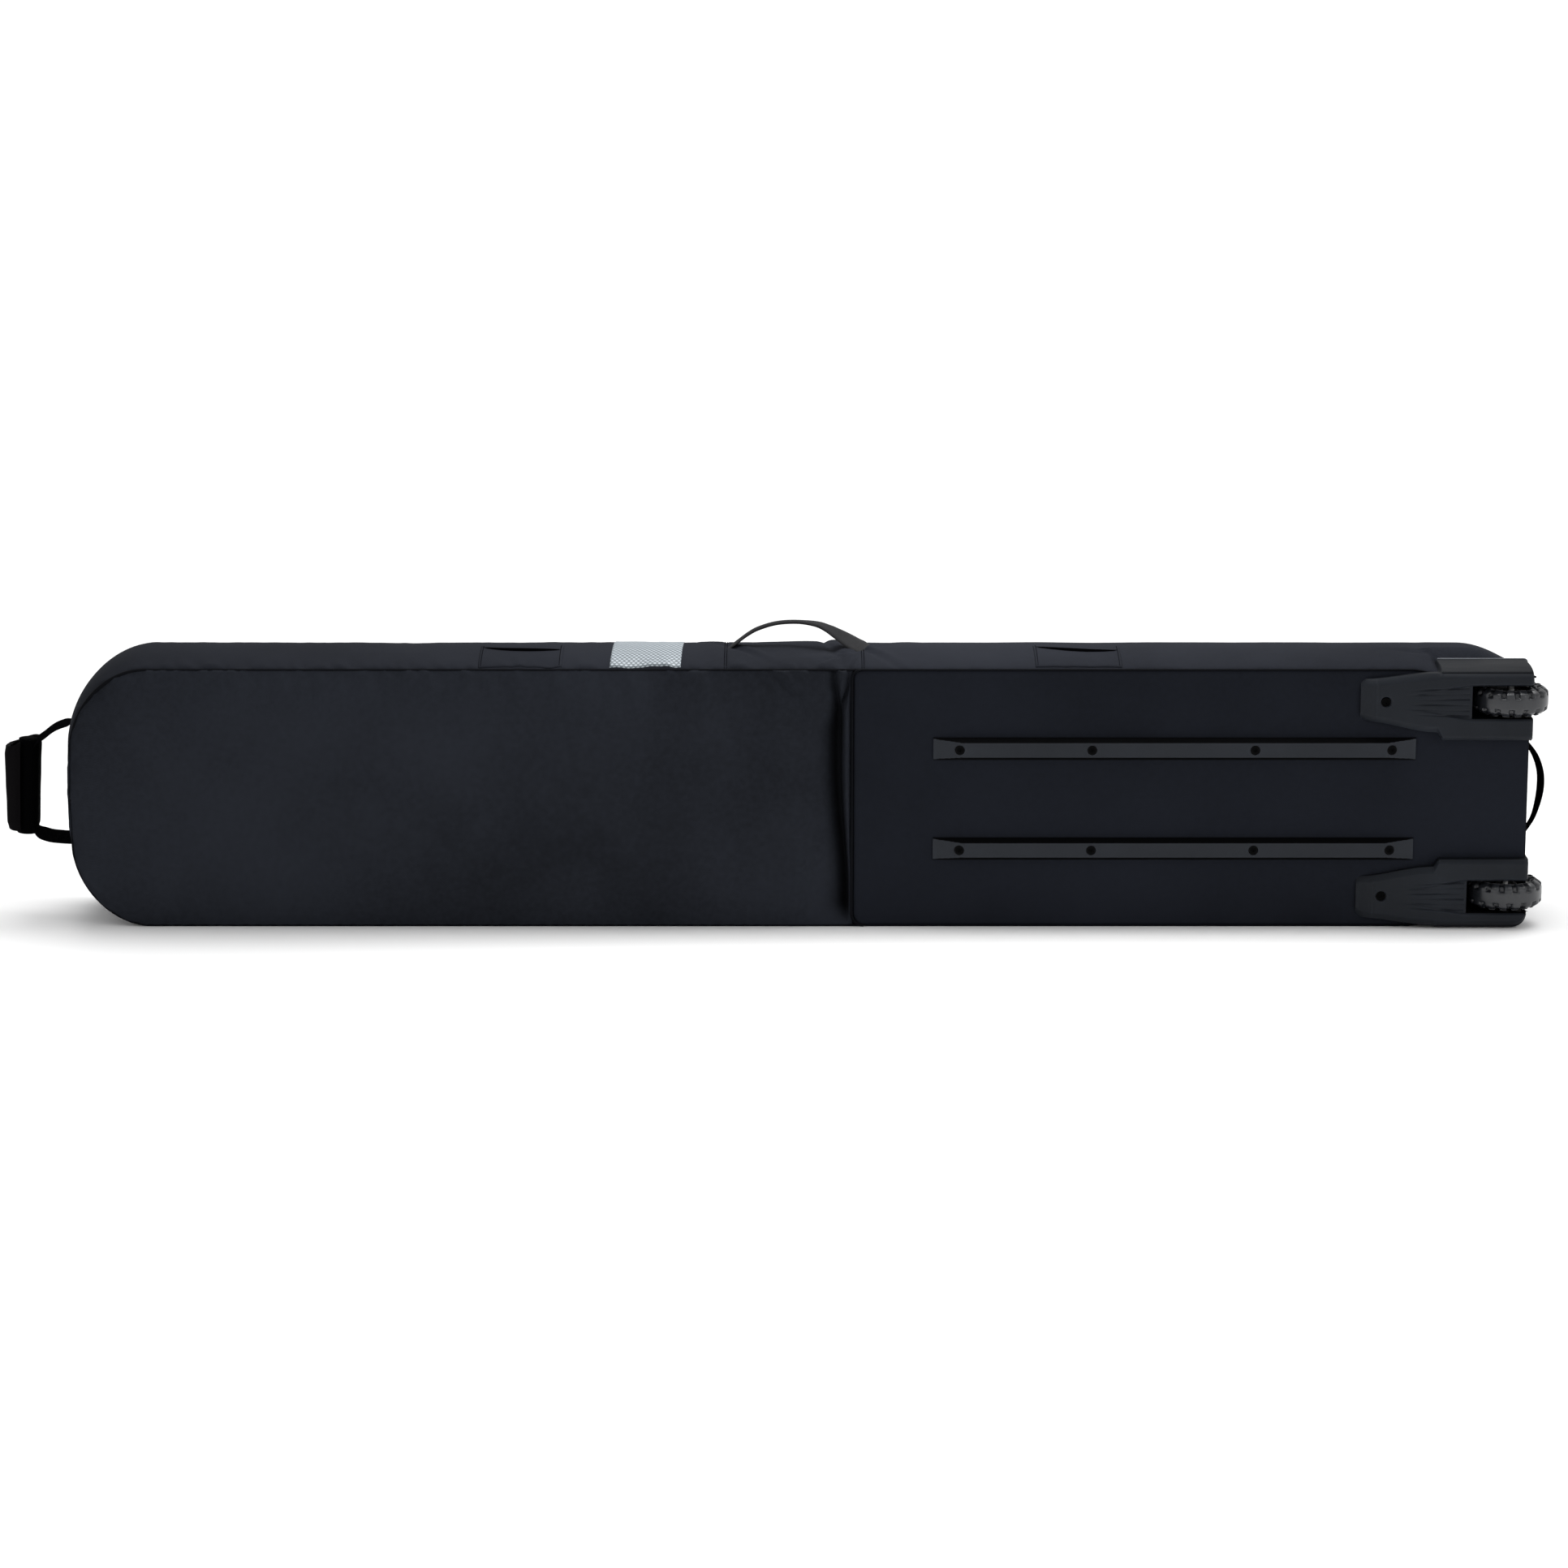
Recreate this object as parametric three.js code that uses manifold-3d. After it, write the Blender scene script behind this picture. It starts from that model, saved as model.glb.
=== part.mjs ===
// Wheeled snowboard bag, standing on one long side gusset.
//
// Frame, in millimetres: the origin is the middle of the resting gusset's underside.
// +X runs from the soft nose to the wheeled tail, -Y is the side with the skid rails and
// wheels, +Y is the side with the zipped lid, and +Z is up.
import * as THREE from "three";
import { mergeVertices } from "three/addons/utils/BufferGeometryUtils.js";
import Module from "manifold-3d";

const wasm = await Module();
wasm.setup();

// ---------------------------------------------------------------- driving dimensions

const GAP = 0.3; // clearance between neighbouring pieces

const NOSE_X = -835; // seam line at the nose end
const TAIL_X = 835; // outer face of the tail panel
const HEIGHT = 302; // seam line to seam line, gusset to gusset
const HALF_DEPTH = 75; // half the width of the gusset
const FABRIC = 4; // padded fabric, thickness
const TOP_DOME = 9; // how far the upper gusset stands above its seams
const MID_Z = HEIGHT / 2;

const NOSE_CORNER_X = 88; // nose corner, size along X
const NOSE_CORNER_Z = 97; // nose corner, size along Z
const NOSE_POWER = 1.85; // a little flatter than an ellipse, which is 2
const TAIL_RADIUS = 14;
const TAIL_STEP = 4; // the seams draw in by this much so that the wheel housings end flush
const STEP_START_X = 640;
const STEP_END_X = 680;

const BASE_X = 60; // seam between the soft nose panel and the stiff base panel
const BASE_FABRIC = 3;
const BOARD = 2; // stiffener sheet behind the base panel
const PIPING_RADIUS = 2.2;

const RIM = 22; // fabric border between the back seam and the zip
const TAPE_WIDTH = 7.7;
const TAPE = 2;
const HINGE_INSET = 8.6; // from the upper seam down to the lid's sewn hinge line

const RAIL_START_X = 154;
const RAIL_END_X = 705;
const RAIL_HALF_WIDTH = 13;
const RAIL_TOP_HALF_WIDTH = 9.7;
const RAIL_HEIGHT = 11;
const RAIL_SLOPE = 34; // length of each sloping end
const RAIL_OFFSET_Z = 58.5; // from mid-height
const RAIL_SCREWS_X = [184, 335, 521, 677];

const HOUSING_X = 728; // where the tongue widens into the part that wraps the corner
const HOUSING_END_X = 840;
const HOUSING_FACE = 15; // how far the housing stands proud of the base panel
const HOUSING_WIDTH = 82;
const HOUSING_WRAP = 47; // how far the housing reaches round the side and the end
const HOUSING_CORNER = 18;
const TONGUE_X = 641;
const HOUSING_SCREW_X = 669;
const FLUTES = 6;

const WHEEL_RADIUS = 43;
const WHEEL_WIDTH = 31;
const WHEEL_X = 815;
const WHEEL_Y = -54;
const WHEEL_OFFSET_Z = 113; // from mid-height
const HUB_RADIUS = 27;
const LUGS = 16;
const WELL_WALL = 3.5;
const WELL_HALF_WIDTH = 19;
const WELL_X = 769;
const WELL_FLOOR_Y = -7;
const AXLE_RADIUS = 4;
const BEARING_RADIUS = 11;
const BEARING_WIDTH = 7;

const WEBBING_WIDTH = 25;
const WEBBING = 2.4;

const COLOURS = {
  baseFabric: [0x1c1f25, 0.75, 0],
  softFabric: [0x20232a, 0.8, 0],
  gussetFabric: [0x33363c, 0.8, 0],
  lidFabric: [0x20232a, 0.8, 0],
  reflective: [0xb4bfc6, 0.45, 0],
  piping: [0x0d0e11, 0.7, 0],
  board: [0x2b2b2b, 0.5, 0],
  webbing: [0x101012, 0.85, 0],
  gripFoam: [0x0f0f10, 0.9, 0],
  housing: [0x2b2d31, 0.5, 0],
  rail: [0x1e2024, 0.5, 0],
  tyre: [0x2a2c30, 0.4, 0],
  hub: [0x0c0c0e, 0.5, 0],
  screw: [0x0a0a0b, 0.35, 0.8],
  steel: [0x9a9a9a, 0.3, 1],
  zip: [0x16171a, 0.6, 0],
};

// ---------------------------------------------------------------- general helpers

function material(kind) {
  const [color, roughness, metalness] = COLOURS[kind];
  return new THREE.MeshStandardMaterial({ color, roughness, metalness });
}

const bag = new THREE.Group();
bag.name = "snowboard_bag";

function piece(name, geometry, kind) {
  const mesh = new THREE.Mesh(geometry, material(kind));
  mesh.name = name;
  bag.add(mesh);
  return mesh;
}

function solid(geometry) {
  const bare = geometry.index ? geometry.toNonIndexed() : geometry.clone();
  bare.deleteAttribute("normal");
  bare.deleteAttribute("uv");
  const merged = mergeVertices(bare, 1e-3);
  return new wasm.Manifold(
    new wasm.Mesh({
      numProp: 3,
      vertProperties: merged.attributes.position.array,
      triVerts: new Uint32Array(merged.index.array),
    }),
  );
}

function geometryOf(manifold) {
  const mesh = manifold.getMesh();
  const geometry = new THREE.BufferGeometry();
  geometry.setAttribute("position", new THREE.BufferAttribute(mesh.vertProperties, 3));
  geometry.setIndex(new THREE.BufferAttribute(mesh.triVerts, 1));
  const flat = geometry.toNonIndexed();
  flat.computeVertexNormals();
  return flat;
}

function cut(geometry, ...tools) {
  let result = solid(geometry);
  for (const tool of tools) {
    result = result.subtract(solid(tool));
  }
  return geometryOf(result);
}

function join(...geometries) {
  let result = solid(geometries[0]);
  for (const geometry of geometries.slice(1)) {
    result = result.add(solid(geometry));
  }
  return geometryOf(result);
}

// A box from its lowest and highest corners.
function box(low, high) {
  const size = high.map((value, i) => value - low[i]);
  const centre = high.map((value, i) => (value + low[i]) / 2);
  return new THREE.BoxGeometry(...size).translate(...centre);
}

// A cylinder along Y from its two ends.
function cylinderY(radius, x, z, fromY, toY, sides = 14) {
  const height = Math.abs(toY - fromY);
  return new THREE.CylinderGeometry(radius, radius, height, sides).translate(x, (fromY + toY) / 2, z);
}

// A cylinder along Z from its two ends.
function cylinderZ(radius, x, y, fromZ, toZ, sides = 16) {
  const height = Math.abs(toZ - fromZ);
  return new THREE.CylinderGeometry(radius, radius, height, sides)
    .rotateX(Math.PI / 2)
    .translate(x, y, (fromZ + toZ) / 2);
}

// A shape drawn in X and Z, given a thickness along Y.
function plate(shape, lowY, highY, options = {}) {
  return new THREE.ExtrudeGeometry(shape, {
    depth: highY - lowY,
    bevelEnabled: false,
    curveSegments: 8,
    ...options,
  })
    .rotateX(Math.PI / 2)
    .translate(0, highY, 0);
}

// A solid skinned over rings of equally many points. The end caps join point k to point n-1-k.
function loft(rings) {
  const count = rings[0].length;
  const positions = rings.flat().flatMap((point) => [point.x, point.y, point.z]);
  const indices = [];
  for (let i = 0; i < rings.length - 1; i += 1) {
    for (let k = 0; k < count; k += 1) {
      const a = i * count + k;
      const b = i * count + ((k + 1) % count);
      indices.push(a, b, a + count, b, b + count, a + count);
    }
  }
  const last = (rings.length - 1) * count;
  for (let k = 0; k < count / 2 - 1; k += 1) {
    const far = count - 1 - k;
    indices.push(k, far, k + 1, k + 1, far, far - 1);
    indices.push(last + k, last + k + 1, last + far, last + k + 1, last + far - 1, last + far);
  }
  const geometry = new THREE.BufferGeometry();
  geometry.setAttribute("position", new THREE.Float32BufferAttribute(positions, 3));
  geometry.setIndex(indices);
  if (signedVolume(geometry) < 0) {
    geometry.setIndex(indices.reverse());
  }
  const flat = geometry.toNonIndexed();
  flat.computeVertexNormals();
  return flat;
}

function signedVolume(geometry) {
  const position = geometry.attributes.position;
  const index = geometry.index;
  const corners = [new THREE.Vector3(), new THREE.Vector3(), new THREE.Vector3()];
  let total = 0;
  for (let i = 0; i < index.count; i += 3) {
    corners.forEach((corner, k) => corner.fromBufferAttribute(position, index.getX(i + k)));
    total += corners[0].dot(corners[1].clone().cross(corners[2])) / 6;
  }
  return total;
}

// ---------------------------------------------------------------- outlines

// A quarter of the nose corner, as points in X and Z. The turn runs from 0, on the upper or
// lower seam, to 1, on the end seam; side is 1 for the upper corner and -1 for the lower one.
function noseCorner(side, sideInset, edgeInset, steps = 8) {
  const centreX = NOSE_X + NOSE_CORNER_X;
  const centreZ = side > 0 ? HEIGHT - NOSE_CORNER_Z : NOSE_CORNER_Z;
  const points = [];
  for (let i = 0; i <= steps; i += 1) {
    const angle = ((i / steps) * Math.PI) / 2;
    const along = Math.sin(angle) ** (2 / NOSE_POWER);
    const across = Math.cos(angle) ** (2 / NOSE_POWER);
    points.push(
      new THREE.Vector2(
        centreX - (NOSE_CORNER_X - sideInset) * along,
        centreZ + side * (NOSE_CORNER_Z - edgeInset) * across,
      ),
    );
  }
  return points;
}

// The bag's outline seen from the side, drawn in from its seams by the three insets. The step
// is how far the upper and lower seams draw in beside the wheel housings.
function outline(inset, topInset = inset, bottomInset = inset, step = TAIL_STEP) {
  const top = HEIGHT - topInset;
  const bottom = bottomInset;
  const tail = TAIL_X - inset;
  const radius = Math.max(TAIL_RADIUS - inset, 4);
  const shape = new THREE.Shape();
  shape.moveTo(STEP_START_X, bottom);
  shape.lineTo(STEP_END_X, bottom + step);
  shape.lineTo(tail - radius, bottom + step);
  shape.absarc(tail - radius, bottom + step + radius, radius, -Math.PI / 2, 0, false);
  shape.absarc(tail - radius, top - step - radius, radius, 0, Math.PI / 2, false);
  shape.lineTo(STEP_END_X, top - step);
  shape.lineTo(STEP_START_X, top);
  for (const point of noseCorner(1, inset, topInset)) {
    shape.lineTo(point.x, point.y);
  }
  for (const point of noseCorner(-1, inset, bottomInset).reverse()) {
    shape.lineTo(point.x, point.y);
  }
  return shape;
}

// The rest of a plate on the nose side of x, or on its tail side.
function halfSpace(fromX, toX) {
  return box([fromX, -2 * HALF_DEPTH, -HEIGHT], [toX, 2 * HALF_DEPTH, 2 * HEIGHT]);
}

// ---------------------------------------------------------------- gussets

// How far the gusset's crest stands out from its seams at a point of the outline: nothing
// where the bag rests, the full dome on top, and nothing again under the wheel housings.
function domeAt(x, z) {
  const rise = THREE.MathUtils.smoothstep(z, 0.1 * HEIGHT, 0.9 * HEIGHT);
  const fade = 1 - THREE.MathUtils.smoothstep(x, STEP_START_X, HOUSING_X - 5);
  return TOP_DOME * rise * fade;
}

// A band of padded fabric that follows a path in X and Z. Its section crosses the bag from
// front to back, domed between its seams; lift and thickness place a patch on top of it.
function band(path, { lowY = -HALF_DEPTH, highY = HALF_DEPTH, lift = 0, thickness = FABRIC } = {}) {
  const steps = 6;
  const rings = path.map((point, i) => {
    const before = path[Math.max(i - 1, 0)];
    const after = path[Math.min(i + 1, path.length - 1)];
    const tangent = after.clone().sub(before).normalize();
    const normal = new THREE.Vector2(-tangent.y, tangent.x);
    const dome = domeAt(point.x, point.y);
    const row = (offset) =>
      Array.from({ length: steps + 1 }, (_, k) => {
        const y = lowY + ((highY - lowY) * k) / steps;
        const out = offset + dome * (1 - (y / HALF_DEPTH) ** 2);
        return new THREE.Vector3(point.x + normal.x * out, y, point.y + normal.y * out);
      });
    return [...row(lift + thickness - FABRIC), ...row(lift - FABRIC).reverse()];
  });
  return loft(rings);
}

const noseJoinX = NOSE_X + NOSE_CORNER_X + 12;
const tailCentreX = TAIL_X - TAIL_RADIUS;
const tailJoinX = tailCentreX - 2;

function upperPath(fromX, toX) {
  const stations = [fromX, STEP_START_X, STEP_START_X + 20, STEP_END_X, HOUSING_X - 25, HOUSING_X - 5, toX];
  const inside = stations.filter((x, i) => i === 0 || (x > fromX && x <= toX));
  return inside.map((x) => {
    const step = TAIL_STEP * THREE.MathUtils.clamp((x - STEP_START_X) / (STEP_END_X - STEP_START_X), 0, 1);
    return new THREE.Vector2(x, HEIGHT - step);
  });
}

function lowerPath(fromX, toX) {
  return upperPath(fromX, toX)
    .map((point) => new THREE.Vector2(point.x, HEIGHT - point.y))
    .reverse();
}

function tailPath() {
  const points = [new THREE.Vector2(tailJoinX, HEIGHT - TAIL_STEP)];
  const steps = 6;
  for (const [side, from] of [[1, Math.PI / 2], [-1, 0]]) {
    const centreZ = MID_Z + side * (MID_Z - TAIL_STEP - TAIL_RADIUS);
    for (let i = 0; i <= steps; i += 1) {
      const angle = from - ((i / steps) * Math.PI) / 2;
      points.push(
        new THREE.Vector2(
          tailCentreX + TAIL_RADIUS * Math.cos(angle),
          centreZ + TAIL_RADIUS * Math.sin(angle),
        ),
      );
    }
  }
  points.push(new THREE.Vector2(tailJoinX, TAIL_STEP));
  return points;
}

function nosePath() {
  return [
    new THREE.Vector2(noseJoinX, 0),
    ...noseCorner(-1, 0, 0),
    ...noseCorner(1, 0, 0).reverse(),
    new THREE.Vector2(noseJoinX, HEIGHT),
  ];
}

function gussets() {
  piece("upper_gusset", band(upperPath(noseJoinX + GAP, tailJoinX - GAP)), "gussetFabric");
  piece("lower_gusset", band(lowerPath(noseJoinX + GAP, tailJoinX - GAP)), "gussetFabric");
  piece("nose_gusset", band(nosePath()), "gussetFabric");
  piece("tail_panel", cut(band(tailPath()), ...wellBoxes(GAP)), "baseFabric");
}

function gussetPatches() {
  const patch = { lift: FABRIC + GAP, thickness: 0.8 };
  const patchPath = (fromX, toX) => [new THREE.Vector2(fromX, HEIGHT), new THREE.Vector2(toX, HEIGHT)];
  piece("reflective_patch", band(patchPath(-214, -130), patch), "reflective");
  const sleeve = { ...patch, lowY: -HALF_DEPTH, highY: 5 };
  piece("strap_sleeve_nose", band(patchPath(-363, -269), sleeve), "gussetFabric");
  piece("strap_sleeve_tail", band(patchPath(270, 368), sleeve), "gussetFabric");
}

// ---------------------------------------------------------------- front panels

function sides(offset) {
  return [
    { name: "upper", z: MID_Z + offset, side: 1 },
    { name: "lower", z: MID_Z - offset, side: -1 },
  ];
}

// The space that each wheel well takes out of the base panel, the board and the tail panel.
function wellBoxes(clearance) {
  const reach = WELL_HALF_WIDTH + WELL_WALL + clearance;
  return sides(WHEEL_OFFSET_Z).map(({ z }) =>
    box(
      [WELL_X - WELL_WALL - clearance, -2 * HALF_DEPTH, z - reach],
      [2 * TAIL_X, WELL_FLOOR_Y + WELL_WALL + clearance, z + reach],
    ),
  );
}

function railScrewPlaces() {
  return sides(RAIL_OFFSET_Z).flatMap(({ name, z }) =>
    RAIL_SCREWS_X.map((x, i) => ({ name: `rail_screw_${name}_${i + 1}`, x, z })),
  );
}

function housingScrewPlaces() {
  return sides(WHEEL_OFFSET_Z).map(({ name, z }) => ({
    name: `housing_screw_${name}`,
    x: HOUSING_SCREW_X,
    z,
  }));
}

function screwHoles(lowY, highY) {
  const holeRadius = 2.4;
  return [...railScrewPlaces(), ...housingScrewPlaces()].map(({ x, z }) =>
    cylinderY(holeRadius, x, z, lowY, highY, 10),
  );
}

function frontPanels() {
  const inset = FABRIC + GAP;
  const front = -HALF_DEPTH;
  const softPlate = plate(outline(inset), front, front + FABRIC);
  const seamRoom = PIPING_RADIUS + GAP;
  piece("soft_panel", cut(softPlate, halfSpace(BASE_X - seamRoom, 2 * TAIL_X)), "softFabric");

  const noseSide = halfSpace(2 * NOSE_X, BASE_X + seamRoom);
  const holes = screwHoles(front - 1, front + 10);
  const basePlate = plate(outline(inset), front, front + BASE_FABRIC);
  piece("base_panel", cut(basePlate, noseSide, ...wellBoxes(GAP), ...holes), "baseFabric");

  const boardFront = front + BASE_FABRIC + GAP;
  const boardPlate = plate(outline(inset + 3), boardFront, boardFront + BOARD);
  const boardEdge = halfSpace(2 * NOSE_X, BASE_X + seamRoom + 6);
  piece("base_board", cut(boardPlate, boardEdge, ...wellBoxes(GAP), ...holes), "board");

  const pipingEnd = inset + 2;
  const piping = cylinderZ(PIPING_RADIUS, BASE_X, front + 1.5, pipingEnd, HEIGHT - pipingEnd, 10);
  piece("base_piping", piping, "piping");
}

// ---------------------------------------------------------------- skid rails

// A bevelled bar with sloping ends, its underside just clear of the base panel.
function railBar(z) {
  const foot = -HALF_DEPTH - GAP;
  const lip = 1.8;
  const section = (x, height) => {
    const shoulder = foot - lip;
    const face = foot - height;
    const halves = [
      [-RAIL_HALF_WIDTH, foot],
      [-RAIL_HALF_WIDTH, shoulder],
      [-RAIL_TOP_HALF_WIDTH, face],
      [RAIL_TOP_HALF_WIDTH, face],
      [RAIL_HALF_WIDTH, shoulder],
      [RAIL_HALF_WIDTH, foot],
    ];
    return halves.map(([across, y]) => new THREE.Vector3(x, y, z + across));
  };
  return loft([
    section(RAIL_START_X, lip + 1),
    section(RAIL_START_X + RAIL_SLOPE, RAIL_HEIGHT),
    section(RAIL_END_X - RAIL_SLOPE, RAIL_HEIGHT),
    section(RAIL_END_X, lip + 1),
  ]);
}

const SCREW_HEAD_RADIUS = 4.9;
const SCREW_HEAD = 2.6;
const SCREW_SHANK_RADIUS = 2;

// A pan-head screw with a socket, its head towards -Y at headY.
function screw(x, z, headY) {
  const backY = -HALF_DEPTH + 9.5;
  const profile = [
    [0, headY + 1.2],
    [1.8, headY + 1.2],
    [1.8, headY],
    [SCREW_HEAD_RADIUS - 0.8, headY],
    [SCREW_HEAD_RADIUS, headY + 0.8],
    [SCREW_HEAD_RADIUS, headY + SCREW_HEAD],
    [SCREW_SHANK_RADIUS, headY + SCREW_HEAD],
    [SCREW_SHANK_RADIUS, backY],
    [0, backY],
  ].map(([r, y]) => new THREE.Vector2(r, y));
  return new THREE.LatheGeometry(profile, 10).translate(x, 0, z);
}

function skidRails() {
  const foot = -HALF_DEPTH - GAP;
  const face = foot - RAIL_HEIGHT;
  const counterbore = 3.6;
  for (const { name, z } of sides(RAIL_OFFSET_Z)) {
    const recesses = RAIL_SCREWS_X.map((x) =>
      cylinderY(SCREW_HEAD_RADIUS + 0.6, x, z, face - 1, face + counterbore),
    );
    const bores = RAIL_SCREWS_X.map((x) => cylinderY(2.4, x, z, face - 1, foot + 1, 10));
    piece(`rail_${name}`, cut(railBar(z), ...recesses, ...bores), "rail");

    const stripFront = -HALF_DEPTH + BASE_FABRIC + BOARD + 2 * GAP;
    const strip = box(
      [RAIL_START_X + 15, stripFront, z - 9],
      [RAIL_END_X - 15, stripFront + 1.6, z + 9],
    );
    const stripBores = RAIL_SCREWS_X.map((x) => cylinderY(2.4, x, z, stripFront - 1, 0, 10));
    piece(`rail_backing_strip_${name}`, cut(strip, ...stripBores), "steel");
  }
  for (const { name, x, z } of railScrewPlaces()) {
    piece(name, screw(x, z, face + counterbore - SCREW_HEAD - GAP), "screw");
  }
}

// ---------------------------------------------------------------- wheel housings

// The wide end of a housing, which wraps the base, the side gusset and the tail panel.
function housingShell(side) {
  const outer = side > 0 ? HEIGHT : 0;
  const inner = outer - side * HOUSING_WIDTH;
  const cornerX = HOUSING_END_X - HOUSING_CORNER;
  const cornerZ = outer - side * HOUSING_CORNER;
  const shape = new THREE.Shape();
  shape.moveTo(HOUSING_X, outer);
  shape.lineTo(cornerX, outer);
  shape.absarc(cornerX, cornerZ, HOUSING_CORNER, (side * Math.PI) / 2, 0, side > 0);
  shape.lineTo(HOUSING_END_X, inner);
  shape.lineTo(HOUSING_X + 8, inner);
  shape.quadraticCurveTo(HOUSING_X, inner + side * 1, HOUSING_X - 1, inner + side * 10);
  shape.closePath();
  const bevel = 3;
  return plate(shape, -HALF_DEPTH - HOUSING_FACE + bevel, -HALF_DEPTH + HOUSING_WRAP - bevel, {
    bevelEnabled: true,
    bevelSize: bevel,
    bevelOffset: -bevel,
    bevelThickness: bevel,
    bevelSegments: 2,
    curveSegments: 6,
  });
}

// The tapering tongue that carries the housing's load forward along the base panel.
function housingTongue(side) {
  const edge = side > 0 ? HEIGHT : 0;
  const foot = -HALF_DEPTH - GAP;
  const section = (x, outerInset, innerInset, height) => {
    const bevel = 2.5;
    const outer = edge - side * outerInset;
    const inner = edge - side * innerInset;
    const face = foot - height;
    const corners = [
      [outer, foot],
      [outer, face + bevel],
      [outer - side * bevel, face],
      [inner + side * bevel, face],
      [inner, face + bevel],
      [inner, foot],
    ];
    return corners.map(([z, y]) => new THREE.Vector3(x, y, z));
  };
  return loft([
    section(TONGUE_X, 14, 56, 4),
    section(TONGUE_X + 5, 10, 60, 5.5),
    section(TONGUE_X + 16, 9, 62, 9),
    section(HOUSING_X + 4, 4, 73, 12),
  ]);
}

// Shallow grooves that fan out slightly along the housing's face towards the wheel.
function flutes(z) {
  const startX = 692;
  const endX = WELL_X - 6;
  const cuts = [];
  for (let i = 0; i < FLUTES; i += 1) {
    const place = i - (FLUTES - 1) / 2;
    const y = -HALF_DEPTH - HOUSING_FACE;
    const groove = box([startX, y - 2, z - 1.1], [endX, y + 5, z + 1.1]);
    const turn = THREE.MathUtils.degToRad(place * 0.8);
    groove.translate(-startX, 0, -z).rotateY(-turn).translate(startX, 0, z + place * 5.2);
    cuts.push(groove);
  }
  return cuts;
}

function wheelHousing(name, z, side) {
  const reach = WELL_HALF_WIDTH + WELL_WALL;
  const wellBack = WELL_FLOOR_Y + WELL_WALL;
  const bagEnd = plate(outline(-GAP), -HALF_DEPTH - GAP, 2 * HALF_DEPTH);
  const shell = cut(join(housingShell(side), housingTongue(side)), bagEnd);
  const wellBlock = box(
    [WELL_X - WELL_WALL, -HALF_DEPTH - 2, z - reach],
    [TAIL_X + 2, wellBack, z + reach],
  );
  const wellRoom = box(
    [WELL_X, -2 * HALF_DEPTH, z - WELL_HALF_WIDTH],
    [2 * TAIL_X, WELL_FLOOR_Y, z + WELL_HALF_WIDTH],
  );
  const axleBore = cylinderZ(AXLE_RADIUS + GAP, WHEEL_X, WHEEL_Y, z - 2 * reach, z + 2 * reach);
  const face = -HALF_DEPTH - HOUSING_FACE;
  const recess = cylinderY(SCREW_HEAD_RADIUS + 0.9, HOUSING_SCREW_X, z, face - 1, face + 10.5);
  const screwBore = cylinderY(2.4, HOUSING_SCREW_X, z, face - 1, 0, 10);
  const tools = [wellRoom, axleBore, recess, screwBore, ...flutes(z)];
  piece(`wheel_housing_${name}`, cut(join(shell, wellBlock), ...tools), "housing");
}

function wheelHousings() {
  for (const { name, z, side } of sides(WHEEL_OFFSET_Z)) {
    wheelHousing(name, z, side);
    const axleHalf = WELL_HALF_WIDTH + WELL_WALL - GAP;
    const axle = cylinderZ(AXLE_RADIUS, WHEEL_X, WHEEL_Y, z - axleHalf, z + axleHalf);
    piece(`axle_${name}`, axle, "steel");
  }
  const recessFloor = -HALF_DEPTH - HOUSING_FACE + 10.5;
  for (const { name, x, z } of housingScrewPlaces()) {
    piece(name, screw(x, z, recessFloor - SCREW_HEAD - GAP), "screw");
  }
}

// ---------------------------------------------------------------- wheels

// A ring turned about Z from [radius, height] points, standing at the wheel's centre.
function turned(points, z, segments = 32) {
  const profile = points.map(([r, h]) => new THREE.Vector2(r, h));
  profile.push(profile[0].clone());
  return new THREE.LatheGeometry(profile, segments).rotateX(Math.PI / 2).translate(WHEEL_X, WHEEL_Y, z);
}

function tyre(z) {
  const half = WHEEL_WIDTH / 2;
  const ring = turned(
    [
      [HUB_RADIUS + GAP, -half + 4],
      [HUB_RADIUS + 4, -half + 1],
      [WHEEL_RADIUS - 7, -half],
      [WHEEL_RADIUS - 1.5, -half + 5],
      [WHEEL_RADIUS, 0],
      [WHEEL_RADIUS - 1.5, half - 5],
      [WHEEL_RADIUS - 7, half],
      [HUB_RADIUS + 4, half - 1],
      [HUB_RADIUS + GAP, half - 4],
    ],
    z,
  );
  const notches = [];
  for (let i = 0; i < LUGS; i += 1) {
    for (const side of [1, -1]) {
      const angle = ((i + (side > 0 ? 0 : 0.5)) / LUGS) * 2 * Math.PI;
      const notch = new THREE.BoxGeometry(12, 5.5, 13)
        .translate(WHEEL_RADIUS + 1, 0, side * (half + 0.5))
        .rotateZ(angle)
        .translate(WHEEL_X, WHEEL_Y, z);
      notches.push(notch);
    }
  }
  return cut(ring, ...notches);
}

function hub(z) {
  const rim = 12;
  const boss = BEARING_WIDTH + 2;
  const seat = BEARING_RADIUS + 0.15;
  return turned(
    [
      [AXLE_RADIUS + 2.5, -1.6],
      [seat, -1.6],
      [seat, -boss],
      [seat + 3, -boss],
      [seat + 3.5, -3],
      [HUB_RADIUS - 4, -3],
      [HUB_RADIUS - 2.5, -rim + 1],
      [HUB_RADIUS, -rim + 1],
      [HUB_RADIUS, rim - 1],
      [HUB_RADIUS - 2.5, rim - 1],
      [HUB_RADIUS - 4, 3],
      [seat + 3.5, 3],
      [seat + 3, boss],
      [seat, boss],
      [seat, 1.6],
      [AXLE_RADIUS + 2.5, 1.6],
    ],
    z,
    20,
  );
}

function bearing(z) {
  const half = BEARING_WIDTH / 2;
  const bore = AXLE_RADIUS + 0.08;
  return turned([[bore, -half], [BEARING_RADIUS, -half], [BEARING_RADIUS, half], [bore, half]], z, 20);
}

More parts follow.
